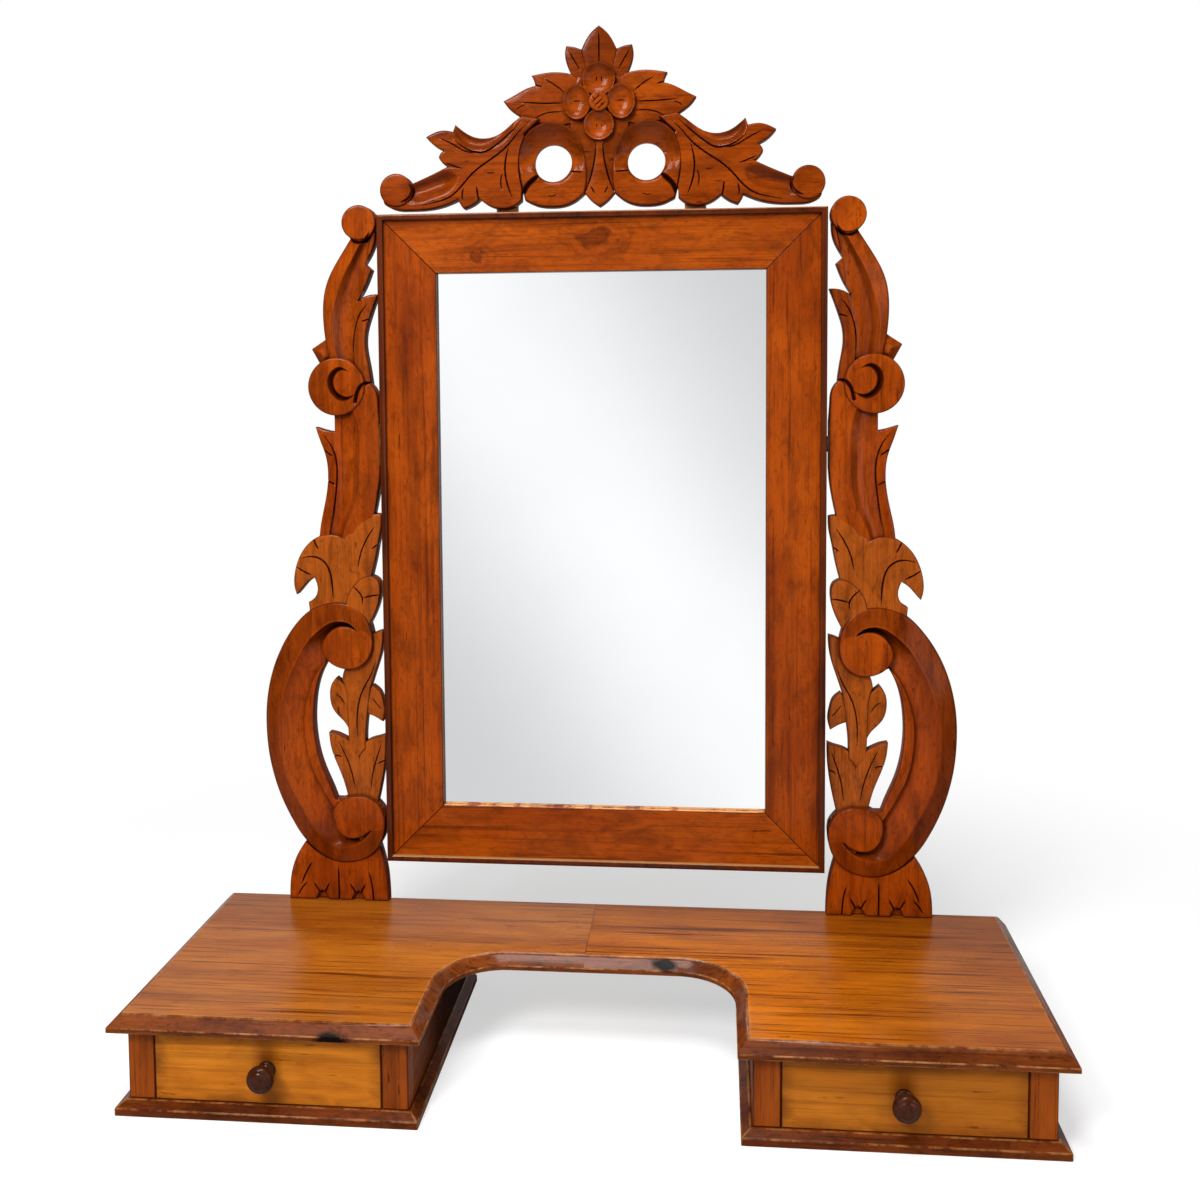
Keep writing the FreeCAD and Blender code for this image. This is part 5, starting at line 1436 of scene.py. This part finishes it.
# %% Cuts of the supports
SUPPORT_CUT_SHARES = [
    (0.96, 2.0, "blunt", [(0.12, 0.0), (0.13, 0.025), (0.155, 0.046)]),
    (0.96, 2.0, "blunt", [(0.4, 0.0), (0.4, 0.025), (0.4, 0.052)]),
    (0.96, 2.0, "", [(0.61, 0.058), (0.66, 0.043), (0.71, 0.022)]),
    (0.88, 1.8, "", [(0.655, 0.027), (0.7, 0.018), (0.74, 0.006)]),
    (0.96, 2.2, "blunt", [(0.225, 0.01), (0.205, 0.018), (0.18, 0.026)]),
    (0.96, 2.2, "blunt", [(0.265, 0.01), (0.285, 0.018), (0.31, 0.026)]),
    (0.96, 2.2, "blunt", [(0.52, 0.01), (0.5, 0.018), (0.475, 0.026)]),
    (0.96, 2.2, "blunt", [(0.56, 0.01), (0.58, 0.018), (0.605, 0.026)]),
    (0.8, 1.6, "", [(0.06, 0.36), (0.12, 0.33), (0.18, 0.31), (0.215, 0.29), (0.23, 0.26), (0.225, 0.235)]),
    (0.72, 1.6, "", [(0.03, 0.235), (0.08, 0.21), (0.12, 0.18), (0.13, 0.16)]),
    (0.72, 1.6, "", [(0.4, 0.24), (0.32, 0.21), (0.27, 0.18), (0.25, 0.16)]),
    (0.8, 2.4, "blunt", [(0.435, 0.213), (0.4, 0.214), (0.36, 0.212)]),
    (0.8, 2.4, "blunt", [(0.012, 0.207), (0.04, 0.206), (0.07, 0.202)]),
    (0.64, 1.4, "", [(0.03, 0.282), (0.07, 0.29), (0.11, 0.3)]),
    (0.64, 1.4, "", [(0.42, 0.305), (0.37, 0.3), (0.33, 0.288)]),
    (0.96, 2.2, "", [(0.02, 0.45), (0.1, 0.448), (0.16, 0.445)]),
    (0.88, 2.2, "", [(0.25, 0.463), (0.2, 0.456), (0.162, 0.445), (0.165, 0.434)]),
    (0.8, 1.8, "", [(0.05, 0.55), (0.12, 0.53), (0.17, 0.51), (0.2, 0.485)]),
    (0.8, 2.2, "blunt", [(0.025, 0.522), (0.05, 0.52), (0.08, 0.515)]),
    (1.04, 2.4, "", [(0.4, 0.437), (0.405, 0.46), (0.42, 0.48), (0.46, 0.495), (0.53, 0.503), (0.68, 0.5)]),
    (0.96, 2.4, "", [(0.57, 0.477), (0.63, 0.482), (0.7, 0.49)]),
    (0.88, 2.4, "blunt", [(0.555, 0.53), (0.535, 0.522), (0.51, 0.514)]),
    (0.96, 2.0, "", [(0.405, 0.548), (0.37, 0.59), (0.353, 0.62), (0.372, 0.652), (0.43, 0.672),
                     (0.49, 0.682)]),
    (0.88, 2.2, "blunt", [(0.45, 0.656), (0.42, 0.652), (0.385, 0.648)]),
    (0.88, 2.2, "blunt", [(0.432, 0.613), (0.4, 0.61), (0.37, 0.607)]),
    (3.4, 4.4, "", [(0.235, 0.768), (0.3, 0.7715), (0.36, 0.764), (0.378, 0.7515), (0.345, 0.7365),
                    (0.27, 0.7295), (0.19, 0.735)]),
    (2.2, 3.2, "blunt", [(0.185, 0.725), (0.168, 0.738), (0.12, 0.75), (0.05, 0.752)]),
    (0.88, 2.0, "", [(0.07, 0.865), (0.13, 0.8525), (0.17, 0.8375), (0.195, 0.818), (0.2, 0.79)]),
    (0.8, 2.2, "blunt", [(0.07, 0.842), (0.1, 0.84), (0.135, 0.838)]),
    (1.8, 3.0, "", [(0.05, 0.963), (0.09, 0.951), (0.145, 0.948), (0.21, 0.9535)]),
]
print(len(SUPPORT_CUT_SHARES), "cuts on a support")

# %% Rise of the C-scroll
SCROLL_RIDGE_SHARE, SCROLL_RIM_SHARE = 0.98, 0.8
COVE_SHARE, COVE_BY_BUTTON_SHARE = 0.46, 0.14
SCROLL_BEVEL_SHARE = 0.52

# How these set in: at some millimetres from a tip of the ridge, from a button or from the step.
COVE_FROM_TIP = [(0, 0), (14, 1)]
COVE_FROM_BUTTON = [(0, 1), (16, 0)]
BEVEL_FROM_TIP = [(0, 0), (30, 1)]
BEVEL_GROWTH = [(40, 0.25), (90, 1)]
RIM_DROP_SHARES = [(0, 0.05), (0.5, 0.02), (1.2, 0)]


def scroll_rise(ridge, step, buttons):
    """The rise function of the C-scroll: a bevel, its ridge, a cove, a step and a rim."""
    length = np.sum(np.hypot(*np.diff(ridge, axis=0).T))
    button_edges = [np.vstack([loop, loop[:1]]) for loop in buttons]

    def rise(points, inside):
        off_ridge, along, outer = nearest_on(points, ridge)
        off_step, _, in_cove = nearest_on(points, step)
        off_button = np.min([nearest_on(points, edge)[0] for edge in button_edges], axis=0)
        from_tip = np.minimum(along, length - along)
        sunk = read_off(COVE_FROM_TIP, from_tip) ** 0.6
        sweep = 1 - (1 - share_between(off_ridge, np.minimum(off_step, off_button))) ** 2
        deepest = COVE_SHARE + COVE_BY_BUTTON_SHARE * read_off(COVE_FROM_BUTTON, off_button)
        cove = SCROLL_RIDGE_SHARE - sunk * deepest * sweep
        slope = SCROLL_BEVEL_SHARE * read_off(BEVEL_GROWTH, from_tip) * read_off(BEVEL_FROM_TIP, from_tip)
        bevel = SCROLL_RIDGE_SHARE - slope * share_between(off_ridge, inside)
        rim = SCROLL_RIM_SHARE - read_off(RIM_DROP_SHARES, off_step)
        on_rim = (in_cove < 0) | (off_step < TOUCHING)
        on_bevel = (outer > 0) | (off_ridge < TOUCHING)
        level = np.where(on_bevel, bevel, np.where(on_rim, rim, cove))
        return SUPPORT_THICKNESS * level - read_off(ROUND_EDGE, inside)

    return rise


print("C-scroll ready")

# %% Rise of the bands
HOLLOW_LEVEL_SHARES = [(0, 0.72), (0.15, 0.64), (0.4, 0.6), (0.7, 0.7), (1, 1)]

# Each band: the side of the fold that its hollow is on, the level of its leaf, the level of its ridge at
# some shares of the height, the depth of its bevel, and the stain and painted shade outside and inside its
# ridge.
BANDS = {
    "upper": {"hand": 1, "leaf_share": 0.76, "ridge_shares": [(0.7, 0.92), (1, 0.92)],
              "bevel_share": 0.34, "stains": (0.25, 0.75)},
    "lower": {"hand": -1, "leaf_share": 0.68, "ridge_shares": [(0.54, 0.7), (0.6, 0.92)],
              "bevel_share": 0.05, "stains": (0.3, 0.2)},
}
# How the stain and painted shade set in, in millimetres from a ridge.
STAIN_AND_SHADE_FROM_RIDGE = [(0, 0), (2, 1)]


def hollow_rise(fold, ridge, outer_edge, band):
    """The rise function of a band: a leaf, a fold line, a hollow that climbs to a ridge, and a bevel."""

    def rise(points, inside):
        from_fold, *_ = nearest_on(points, fold)
        from_ridge, _, outer = nearest_on(points, ridge)
        to_edge, *_ = nearest_on(points, outer_edge)
        cove = read_off(HOLLOW_LEVEL_SHARES, share_between(from_fold, from_ridge))
        bevel = 1 - band["bevel_share"] * share_between(from_ridge, to_edge)
        on_bevel = (outer > 0) | (from_ridge < TOUCHING)
        ridge_level = read_off(band["ridge_shares"], points[:, 1] / SUPPORT_SIZE[1])
        level = ridge_level * np.where(on_bevel, bevel, cove)
        hollow = SUPPORT_THICKNESS * level - read_off(ROUND_EDGE, inside)
        leaf = SUPPORT_THICKNESS * band["leaf_share"] - read_off(LEAF, inside)
        fold_across = np.interp(points[:, 1], fold[::-1, 1], fold[::-1, 0])
        beyond_fold = band["hand"] * (points[:, 0] - fold_across) > -TOUCHING
        return np.where(beyond_fold, hollow, leaf)

    return rise


def ridge_stain_and_shade(ridge, outer_stain, inner_stain):
    """The stain and painted shade on both sides of a ridge, which is left clear itself."""

    def stain(points):
        off_ridge, _, outer = nearest_on(points, ridge)
        return np.where(outer > 0, outer_stain, inner_stain) * read_off(STAIN_AND_SHADE_FROM_RIDGE, off_ridge)

    return stain


print("bands ready")

# %% Carve the supports
SUPPORT_SPACING = 1.3
SUPPORT_LINE_SPACING = 0.9
# The stain and painted shade outside and inside the ridge of the C-scroll.
SCROLL_STAIN_AND_SHADE = (1.0, 0.0)


def sized_outline(start, rows, size, spacing):
    """An outline in millimetres from one in shares of a size."""
    return outline(np.array(start) * size, [np.array(row) * size for row in rows], spacing)


def band_edge(part):
    """The outer edge of a band, which is the start of its rim's outline."""
    _, start, rows = SUPPORT_MASS_SHARES[part + "_rim"]
    shares = [start] + rows[0]
    if part == "lower":
        shares += rows[1] + rows[2][:3]
    return stroke(np.array(shares) * SUPPORT_SIZE, SUPPORT_SPACING)


def support_masses(lines):
    """The masses of a support, each with its loop, its rise function, and its stain and painted shade."""
    masses = {}
    for name, (level, start, rows) in (SUPPORT_MASS_SHARES | FOOT_BACK_SHARES | BUTTON_SHARES).items():
        loop = sized_outline(start, rows, SUPPORT_SIZE, SUPPORT_SPACING)
        masses[name] = {"loop": loop, "level": SUPPORT_LEVEL_SHARES.get(name, level)}
    for name, (level, centre, radius) in SUPPORT_DISC_SHARES.items():
        loop = circle(np.array(centre) * SUPPORT_SIZE, radius * SUPPORT_SIZE[0], SUPPORT_SPACING)
        masses[name] = {"loop": loop, "level": level}
    for name, profile in SUPPORT_PROFILES.items():
        masses[name]["rise"] = fall(masses[name]["level"] * SUPPORT_THICKNESS, profile)
    buttons = [masses[name]["loop"] for name in BUTTON_SHARES]
    ridge = lines["scroll_ridge"]
    masses["scroll"]["rise"] = scroll_rise(ridge, lines["scroll_step"], buttons)
    # Stain and painted shade beside the ridges of the scroll and the bands.
    masses["scroll"]["stain"] = ridge_stain_and_shade(ridge, *SCROLL_STAIN_AND_SHADE)
    masses["scroll"]["cuts_away"] = True
    for part, band in BANDS.items():
        fold, ridge = lines[part + "_fold"], lines[part + "_ridge"]
        for name in (part + "_band", part + "_rim"):
            masses[name]["rise"] = hollow_rise(fold, ridge, band_edge(part), band)
            masses[name]["stain"] = ridge_stain_and_shade(ridge, *band["stains"])
    return masses


def carve_supports():
    """Carve the right support and its mirror image on the left."""
    lines = {name: stroke(np.array(shares) * SUPPORT_SIZE, SUPPORT_LINE_SPACING)
             for name, shares in SUPPORT_LINE_SHARES.items()}
    masses = support_masses(lines)
    pale = [number for number, name in enumerate(masses) if name in PALE_MASSES]
    cuts = cuts_from(SUPPORT_CUT_SHARES, SUPPORT_SIZE)
    skin = carved_skin(list(masses.values()), cuts, [], list(lines.values()))
    for node, hand in (("support_left", -1), ("support_right", 1)):
        def place(across, up, rise):
            x = hand * (support_low[0] + across * mm)
            return (x, support_high[1] - rise * mm, support_low[2] + up * mm)

        piece = carved_board(node + "_carved", skin, pale, place, support_high[1])
        show(piece, node, finish["carving_upright"])


carve_supports()

# %% [markdown]
# The crest is carved the same way, but half of its masses are drawn once and repeated on the other hand. A
# flower with four dished petals stands in the middle, with leaves over it, a drop under it, and two rings
# that are hollowed towards their eyes. A web behind the rings joins them to the leaves.

# %% Levels and cuts of the crest
# Half the width and the height that the shares of the crest are taken of, in millimetres.
CREST_SIZE = np.array((229, 184))
crest_low, crest_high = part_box("crest_panel")
CREST_THICKNESS = (crest_high[1] - crest_low[1]) / mm
CREST_LEVEL_SHARES = {
    "ground": 0.58, "drop": 0.7, "upper_leaf": 0.58, "arm": 0.84, "lobes": 0.84, "side_leaves": 0.84,
    "curl": 0.84,
    "petal_top": 0.91, "petal_bottom": 0.9, "petal_left": 0.93, "petal_right": 0.93,
}
PETAL_STRETCHES = {"petal_left": 1.22, "petal_right": 1.22}
CREST_WEB_SHARES = {
    "web": (0.45, (0.12, 0.4), [
        [(0.12, 0.5)], [(0.28, 0.488)], [(0.36, 0.43)], [(0.34, 0.36)], [(0.12, 0.4)],
    ]),
}
CREST_PROFILES = {
    "finial": LEAF, "ground": [(0, 0.5), (2, 0)], "drop": LEAF, "finial_leaf": LEAF, "upper_leaf": LEAF,
    "petal_top": DISH, "petal_bottom": DISH, "petal_left": DISH, "petal_right": DISH,
    "flower_button": BUTTON, "ball_left": BUTTON, "ball_right": BUTTON,
}
CREST_SIDE_CUT_SHARES = [
    (1.6, 2.4, "", [(0.868, 0.15), (0.852, 0.11), (0.866, 0.07), (0.91, 0.043)]),
    (0.96, 2.4, "", [(0.3, 0.485), (0.355, 0.43), (0.41, 0.352), (0.47, 0.29), (0.54, 0.232), (0.59, 0.178),
                    (0.635, 0.115), (0.68, 0.07), (0.75, 0.04), (0.84, 0.02)]),
    (0.96, 2.2, "", [(0.405, 0.35), (0.423, 0.26), (0.42, 0.16), (0.39, 0.05)]),
    (1.04, 2.4, "", [(0.665, 0.4), (0.62, 0.35), (0.57, 0.32), (0.52, 0.315), (0.46, 0.36), (0.4, 0.42),
                    (0.35, 0.48)]),
    (0.8, 1.8, "", [(0.52, 0.315), (0.6, 0.32), (0.66, 0.36), (0.73, 0.402)]),
    (0.8, 1.8, "", [(0.62, 0.225), (0.655, 0.24), (0.7, 0.262)]),
    (0.96, 2.2, "blunt", [(0.546, 0.05), (0.552, 0.085), (0.555, 0.13)]),
    (0.88, 2.0, "", [(0.62, 0.05), (0.622, 0.08), (0.615, 0.12)]),
    (0.8, 2.0, "", [(0.15, 0.58), (0.25, 0.58), (0.36, 0.59)]),
    (0.72, 1.6, "", [(0.16, 0.53), (0.24, 0.525), (0.28, 0.505), (0.3, 0.49)]),
    (0.72, 1.6, "", [(0.15, 0.63), (0.2, 0.68), (0.25, 0.715)]),
    (3.0, 5.0, "", [(0.265, 0.19), (0.31, 0.145), (0.338, 0.1), (0.346, 0.045)]),
    (0.88, 2.0, "", [(0.07, 0.193), (0.1, 0.197), (0.14, 0.2)]),
    (0.88, 2.0, "", [(0.015, 0.36), (0.02, 0.28), (0.035, 0.19), (0.05, 0.13), (0.065, 0.085)]),
    (0.72, 1.6, "", [(0.02, 0.075), (0.03, 0.095), (0.04, 0.12)]),
    (0.72, 1.6, "", [(0.085, 0.76), (0.11, 0.81), (0.138, 0.87)]),
    (0.6, 1.0, "", [(0.08, 0.583), (0.1, 0.586), (0.118, 0.582)]),
    (0.8, 1.6, "blunt", [(0.289, 0.683), (0.275, 0.678), (0.258, 0.672)]),
    (0.8, 1.4, "", [(0.436, 0.2), (0.445, 0.15), (0.44, 0.1)]),
    (0.6, 1.0, "", [(0.33, 0.575), (0.36, 0.562), (0.375, 0.545)]),
    (0.6, 1.0, "", [(0.47, 0.2), (0.49, 0.198), (0.51, 0.2)]),
    (0.6, 1.0, "", [(0.19, 0.075), (0.21, 0.065), (0.235, 0.068)]),
    (10, 6.5, "soft", [(0.38, 0.478), (0.45, 0.412), (0.52, 0.372), (0.58, 0.378), (0.63, 0.42),
                      (0.652, 0.462)]),
    (14, 7.0, "soft", [(0.64, 0.185), (0.72, 0.15), (0.79, 0.12), (0.86, 0.102), (0.925, 0.105)]),
]
CREST_MIDDLE_CUT_SHARES = [
    (0.8, 1.8, "", [(0.0, 0.78), (0.0, 0.86), (0.0, 0.97)]),
    (0.64, 1.2, "", [(-0.031, 0.568), (-0.012, 0.591), (0.008, 0.614)]),
    (0.64, 1.2, "", [(-0.022, 0.546), (0.002, 0.573), (0.026, 0.6)]),
    (0.6, 1.2, "", [(-0.012, 0.69), (-0.011, 0.705), (-0.01, 0.72)]),
    (0.6, 1.2, "", [(0.012, 0.69), (0.011, 0.705), (0.012, 0.72)]),
    (0.6, 1.0, "", [(-0.012, 0.44), (-0.011, 0.45), (-0.012, 0.46)]),
    (0.6, 1.0, "", [(0.012, 0.44), (0.012, 0.45), (0.01, 0.46)]),
    (0.64, 1.2, "", [(-0.004, 0.534), (0.014, 0.555), (0.033, 0.577)]),
    (0.6, 1.0, "", [(-0.028, 0.6), (-0.02, 0.594), (-0.013, 0.588)]),
    (0.6, 1.0, "", [(0.01, 0.567), (0.017, 0.56), (0.026, 0.553)]),
]
print(2 * len(CREST_SIDE_CUT_SHARES) + len(CREST_MIDDLE_CUT_SHARES), "cuts on the crest")

# %% Rise of the rings
RING_BOWL = 8.5
RING_LIP = [(0, 3.0), (0.6, 1.8), (1.6, 0.8), (4, 0)]
RING_FOOT = [(0, 2.2), (0.5, 1.2), (1.2, 0.5), (2.4, 0)]
RING_RIM = [(0, 0.4), (0.5, 0.1), (1.2, 0)]

# How the bowl and its painted shadow set in, at some heights over the middle of the eye as shares of its
# radius.
RING_ABOVE_SHARES = [(-0.55, 0), (0.45, 1)]
RING_SHADE_SHARES = [(-0.3, 0), (0.7, 0.9)]


def ring_rise(depth, eye, radius):
    """The rise function of a crest ring: a bowl towards the eye above, and a rounded lip below."""

    def rise(points, inside):
        away = np.hypot(*(points - eye).T) - radius
        above = read_off(RING_ABOVE_SHARES, (points[:, 1] - eye[1]) / radius)
        share = np.clip(share_between(away, inside), 0, 1)
        bowl = RING_BOWL * (1 - share ** 1.5) + read_off(RING_RIM, inside)
        lip = read_off(RING_LIP, away) + read_off(RING_FOOT, inside)
        return depth - above * bowl - (1 - above) * lip

    return rise


print("rings ready")

# %% Carve the crest
CREST_SPACING = 1.2

# The painted shade of the ground, at some shares of the crest's height: it is darkest beside the drop.
GROUND_SHADE_SHARES = [(0.41, 1.1), (0.47, 0)]


def crest_mass(kind, loop, level, hand=1):
    """One mass of the crest, with its rise function and, on the ground and the rings, its painted shade."""
    depth = CREST_LEVEL_SHARES.get(kind, level) * CREST_THICKNESS
    mass = {"loop": loop, "rise": fall(depth, CREST_PROFILES.get(kind, ROUND_EDGE))}
    mass["proud"] = kind.startswith("ball")
    mass["cuts_away"] = kind in ("ring", "flower_button")
    # Painted shade on the ground beside the drop and in the upper bowls of the rings.
    if kind == "ground":
        mass["stain"] = lambda points: read_off(GROUND_SHADE_SHARES, points[:, 1] / CREST_SIZE[1])
    if kind == "ring":
        (across, up), radius = CREST_EYE_SHARES["eye_right"]
        eye = np.array((hand * across, up)) * CREST_SIZE
        radius *= CREST_SIZE[0]
        mass["rise"] = ring_rise(depth, eye, radius)
        mass["stain"] = lambda points: read_off(RING_SHADE_SHARES, (points[:, 1] - eye[1]) / radius)
    return mass


def crest_masses():
    """The masses of the crest, from the middle to the sides and the round ones last."""
    masses = []
    for kind, (level, start, rows) in CREST_MIDDLE_SHARES.items():
        masses.append(crest_mass(kind, sized_outline(start, rows, CREST_SIZE, CREST_SPACING), level))
    for kind, (level, start, rows) in (CREST_WEB_SHARES | CREST_SIDE_SHARES).items():
        loop = sized_outline(start, rows, CREST_SIZE, CREST_SPACING)
        for hand in (-1, 1):
            masses.append(crest_mass(kind, loop * (hand, 1), level, hand))
    for kind, (level, centre, radius) in CREST_DISC_SHARES.items():
        loop = circle((0, 0), radius * CREST_SIZE[0], CREST_SPACING) * (1, PETAL_STRETCHES.get(kind, 1))
        masses.append(crest_mass(kind, loop + np.array(centre) * CREST_SIZE, level))
    return masses


def carve_crest():
    """Carve the crest with its two eyes."""
    eyes = [circle(np.array(centre) * CREST_SIZE, radius * CREST_SIZE[0], CREST_SPACING)
            for centre, radius in CREST_EYE_SHARES.values()]
    mirrored = [(width, depth, kind, [(-across, up) for across, up in path])
                for width, depth, kind, path in CREST_SIDE_CUT_SHARES]
    cuts = cuts_from(CREST_SIDE_CUT_SHARES + mirrored + CREST_MIDDLE_CUT_SHARES, CREST_SIZE)
    skin = carved_skin(crest_masses(), cuts, eyes, [])

    def place(across, up, rise):
        return (across * mm, crest_high[1] - rise * mm, crest_low[2] + up * mm)

    piece = carved_board("crest_carved", skin, [], place, crest_high[1])
    show(piece, "crest_panel", finish["carving_across"])


carve_crest()

# %% [markdown]
# The stage is a white studio: a wide pale floor, a white surround and soft boxes. The floor keeps the
# soft shadow of the object, and farther out it fades into the white that the camera sees all round. The
# room in front of the object is darker than the backdrop, so that the polish keeps its depth of colour.

# %% Stage helpers
WHITE = (1, 1, 1, 1)
ROOM_FRONT = 0.12


def ray_kinds(tree):
    """Whether a ray comes from the camera, and whether it comes from a polished face or through glass."""
    rays = add_node(tree, "LightPath").outputs
    return rays["Is Camera Ray"], maths(tree, "MAXIMUM", rays["Is Glossy Ray"], rays["Is Transmission Ray"])


def mix_value(tree, factor, first, second):
    """Mix two values by a factor."""
    return add_node(tree, "Mix", {0: factor, 2: first, 3: second}, data_type="FLOAT").outputs[0]


def forward_of(tree, vector):
    """The part of a vector that points from front to back."""
    return add_node(tree, "SeparateXYZ", {0: vector}).outputs["Y"]


def white_glow(tree, strength):
    """A white light of a given strength."""
    return add_node(tree, "Emission", {"Color": WHITE, "Strength": strength}).outputs[0]


print("stage helpers ready")

# %% Floor
FLOOR_GREY = (0.5, 0.5, 0.5, 1)
FLOOR_HALF_WIDTH = 8
FLOOR_LIFT = 0.55
FADE_START, FADE_END = 0.5, 1.15


def studio_floor():
    """A wide pale floor that keeps the object's shadow and fades to white farther out."""
    bm = bmesh.new()
    bmesh.ops.create_grid(bm, x_segments=1, y_segments=1, size=FLOOR_HALF_WIDTH)
    floor = piece_from(bm, "floor")
    material, tree, shader = new_material("white_paper")
    shader.inputs["Base Color"].default_value = FLOOR_GREY
    shader.inputs["Roughness"].default_value = 0.9
    shader.inputs["Specular IOR Level"].default_value = 0.1
    place = object_place(tree)
    camera_ray, polish_ray = ray_kinds(tree)
    away = vector_maths(tree, "LENGTH", place, result="Value")
    fade = ramp(tree, away, FADE_START, FADE_END, curve="SMOOTHSTEP")
    room = ramp(tree, forward_of(tree, place), -0.3, 0.5, ROOM_FRONT, 0.8)
    white = white_glow(tree, mix_value(tree, camera_ray, room, 1.0))
    lift = white_glow(tree, times(tree, camera_ray, FLOOR_LIFT))
    near = add_node(tree, "AddShader", {0: shader.outputs[0], 1: lift}).outputs[0]
    faded = times(tree, maths(tree, "MAXIMUM", camera_ray, polish_ray), fade)
    whole = add_node(tree, "MixShader", {0: faded, 1: near, 2: white}).outputs[0]
    feed(tree, tree.nodes["Material Output"].inputs["Surface"], whole)
    floor.data.materials.append(material)


studio_floor()
print("floor ready")

# %% Surround
SURROUND_LIGHT = 0.2


def white_surround():
    """A surround that is white to the camera, a room to polish, and a plain soft light to the rest."""
    world = bpy.data.worlds.new("white_surround")
    bpy.context.scene.world = world
    world.use_nodes = True
    tree = world.node_tree
    camera_ray, polish_ray = ray_kinds(tree)
    direction = add_node(tree, "TexCoord").outputs["Generated"]
    room = ramp(tree, forward_of(tree, direction), -0.2, 0.4, ROOM_FRONT, 0.7)
    level = mix_value(tree, polish_ray, SURROUND_LIGHT, room)
    background = tree.nodes["Background"].inputs
    feed(tree, background["Strength"], mix_value(tree, camera_ray, level, 1.0))
    feed(tree, background["Color"], WHITE)


white_surround()
print("surround ready")

# %% [markdown]
# A soft box high on the left is the key light: it rakes over the carving, so that every hollow has a dark
# side. A wide, weak one on the right opens the shadows, and one overhead lights the top. They are area
# lights, because their size is what softens the shadows.

# %% Soft boxes
# Each box: its place, the target that it points at, its width and its power.
SOFT_BOXES = {
    "key": ((-0.9, -1.75, 1.85), (0, 0, 0.5), 0.7, 44),
    "fill": ((1.7, -1.4, 0.9), (0, 0, 0.45), 1.4, 12),
    "overhead": ((-0.2, -0.75, 2.3), (0, 0, 0.4), 0.8, 34),
}
for name, (place, target, width, power) in SOFT_BOXES.items():
    light_data = bpy.data.lights.new(name, "AREA")
    light_data.size = width
    light_data.energy = power
    light = bpy.data.objects.new(name, light_data)
    bpy.context.scene.collection.objects.link(light)
    light.location = place
    light.rotation_euler = (Vector(target) - Vector(place)).to_track_quat("-Z", "Y").to_euler()
print("soft boxes:", ", ".join(SOFT_BOXES))

# %% [markdown]
# The glass needs something to show. A photographer would stand a white card in front of it, and so does
# this stage: a card with a soft slanting sweep of light, just large enough to fill the glass as the camera
# sees it. Only reflections see the card.

# %% Card
CARD_LOW, CARD_HIGH = (-0.36, 0.0), (0.26, 0.88)
CARD_FORWARD = -0.45
SWEEP_START, SWEEP_END = (-0.278, 0.779), (0.201, 0.0995)
SWEEP_REACH = 0.4
SWEEP_LEVEL, CARD_LEVEL = 1.06, 0.7


def card_glow():
    """A material with a band of white from the start to the end of the sweep, and grey beside it."""
    material, tree, _ = new_material("sweep_of_light")
    run = (Vector(SWEEP_END) - Vector(SWEEP_START)).normalized()
    spot = vector_maths(tree, "SUBTRACT", object_place(tree), (SWEEP_START[0], 0, SWEEP_START[1]))
    off_sweep = vector_maths(tree, "DOT_PRODUCT", spot, (-run[1], 0, run[0]), result="Value")
    away = maths(tree, "ABSOLUTE", off_sweep)
    level = ramp(tree, away, 0.0, SWEEP_REACH, SWEEP_LEVEL, CARD_LEVEL, "SMOOTHSTEP")
    feed(tree, tree.nodes["Material Output"].inputs["Surface"], white_glow(tree, level))
    return material


def sweep_card():
    """A card for the glass to show."""
    width, height = (high - low for low, high in zip(CARD_LOW, CARD_HIGH))
    across, up = ((low + high) / 2 for low, high in zip(CARD_LOW, CARD_HIGH))
    bm = bmesh.new()
    bmesh.ops.create_grid(bm, x_segments=1, y_segments=1, size=0.5)
    bmesh.ops.rotate(bm, verts=bm.verts, matrix=Matrix.Rotation(math.pi / 2, 3, "X"))
    bmesh.ops.scale(bm, verts=bm.verts, vec=(width, 1, height))
    bmesh.ops.translate(bm, verts=bm.verts, vec=(across, CARD_FORWARD, up))
    card = piece_from(bm, "sweep_card")
    card.data.materials.append(card_glow())
    card.visible_camera = False
    card.visible_diffuse = False
    card.visible_shadow = False


sweep_card()
print("card ready")

# %% [markdown]
# The scene is brought up to date before it is closed.

# %% Finish
bpy.context.view_layer.update()
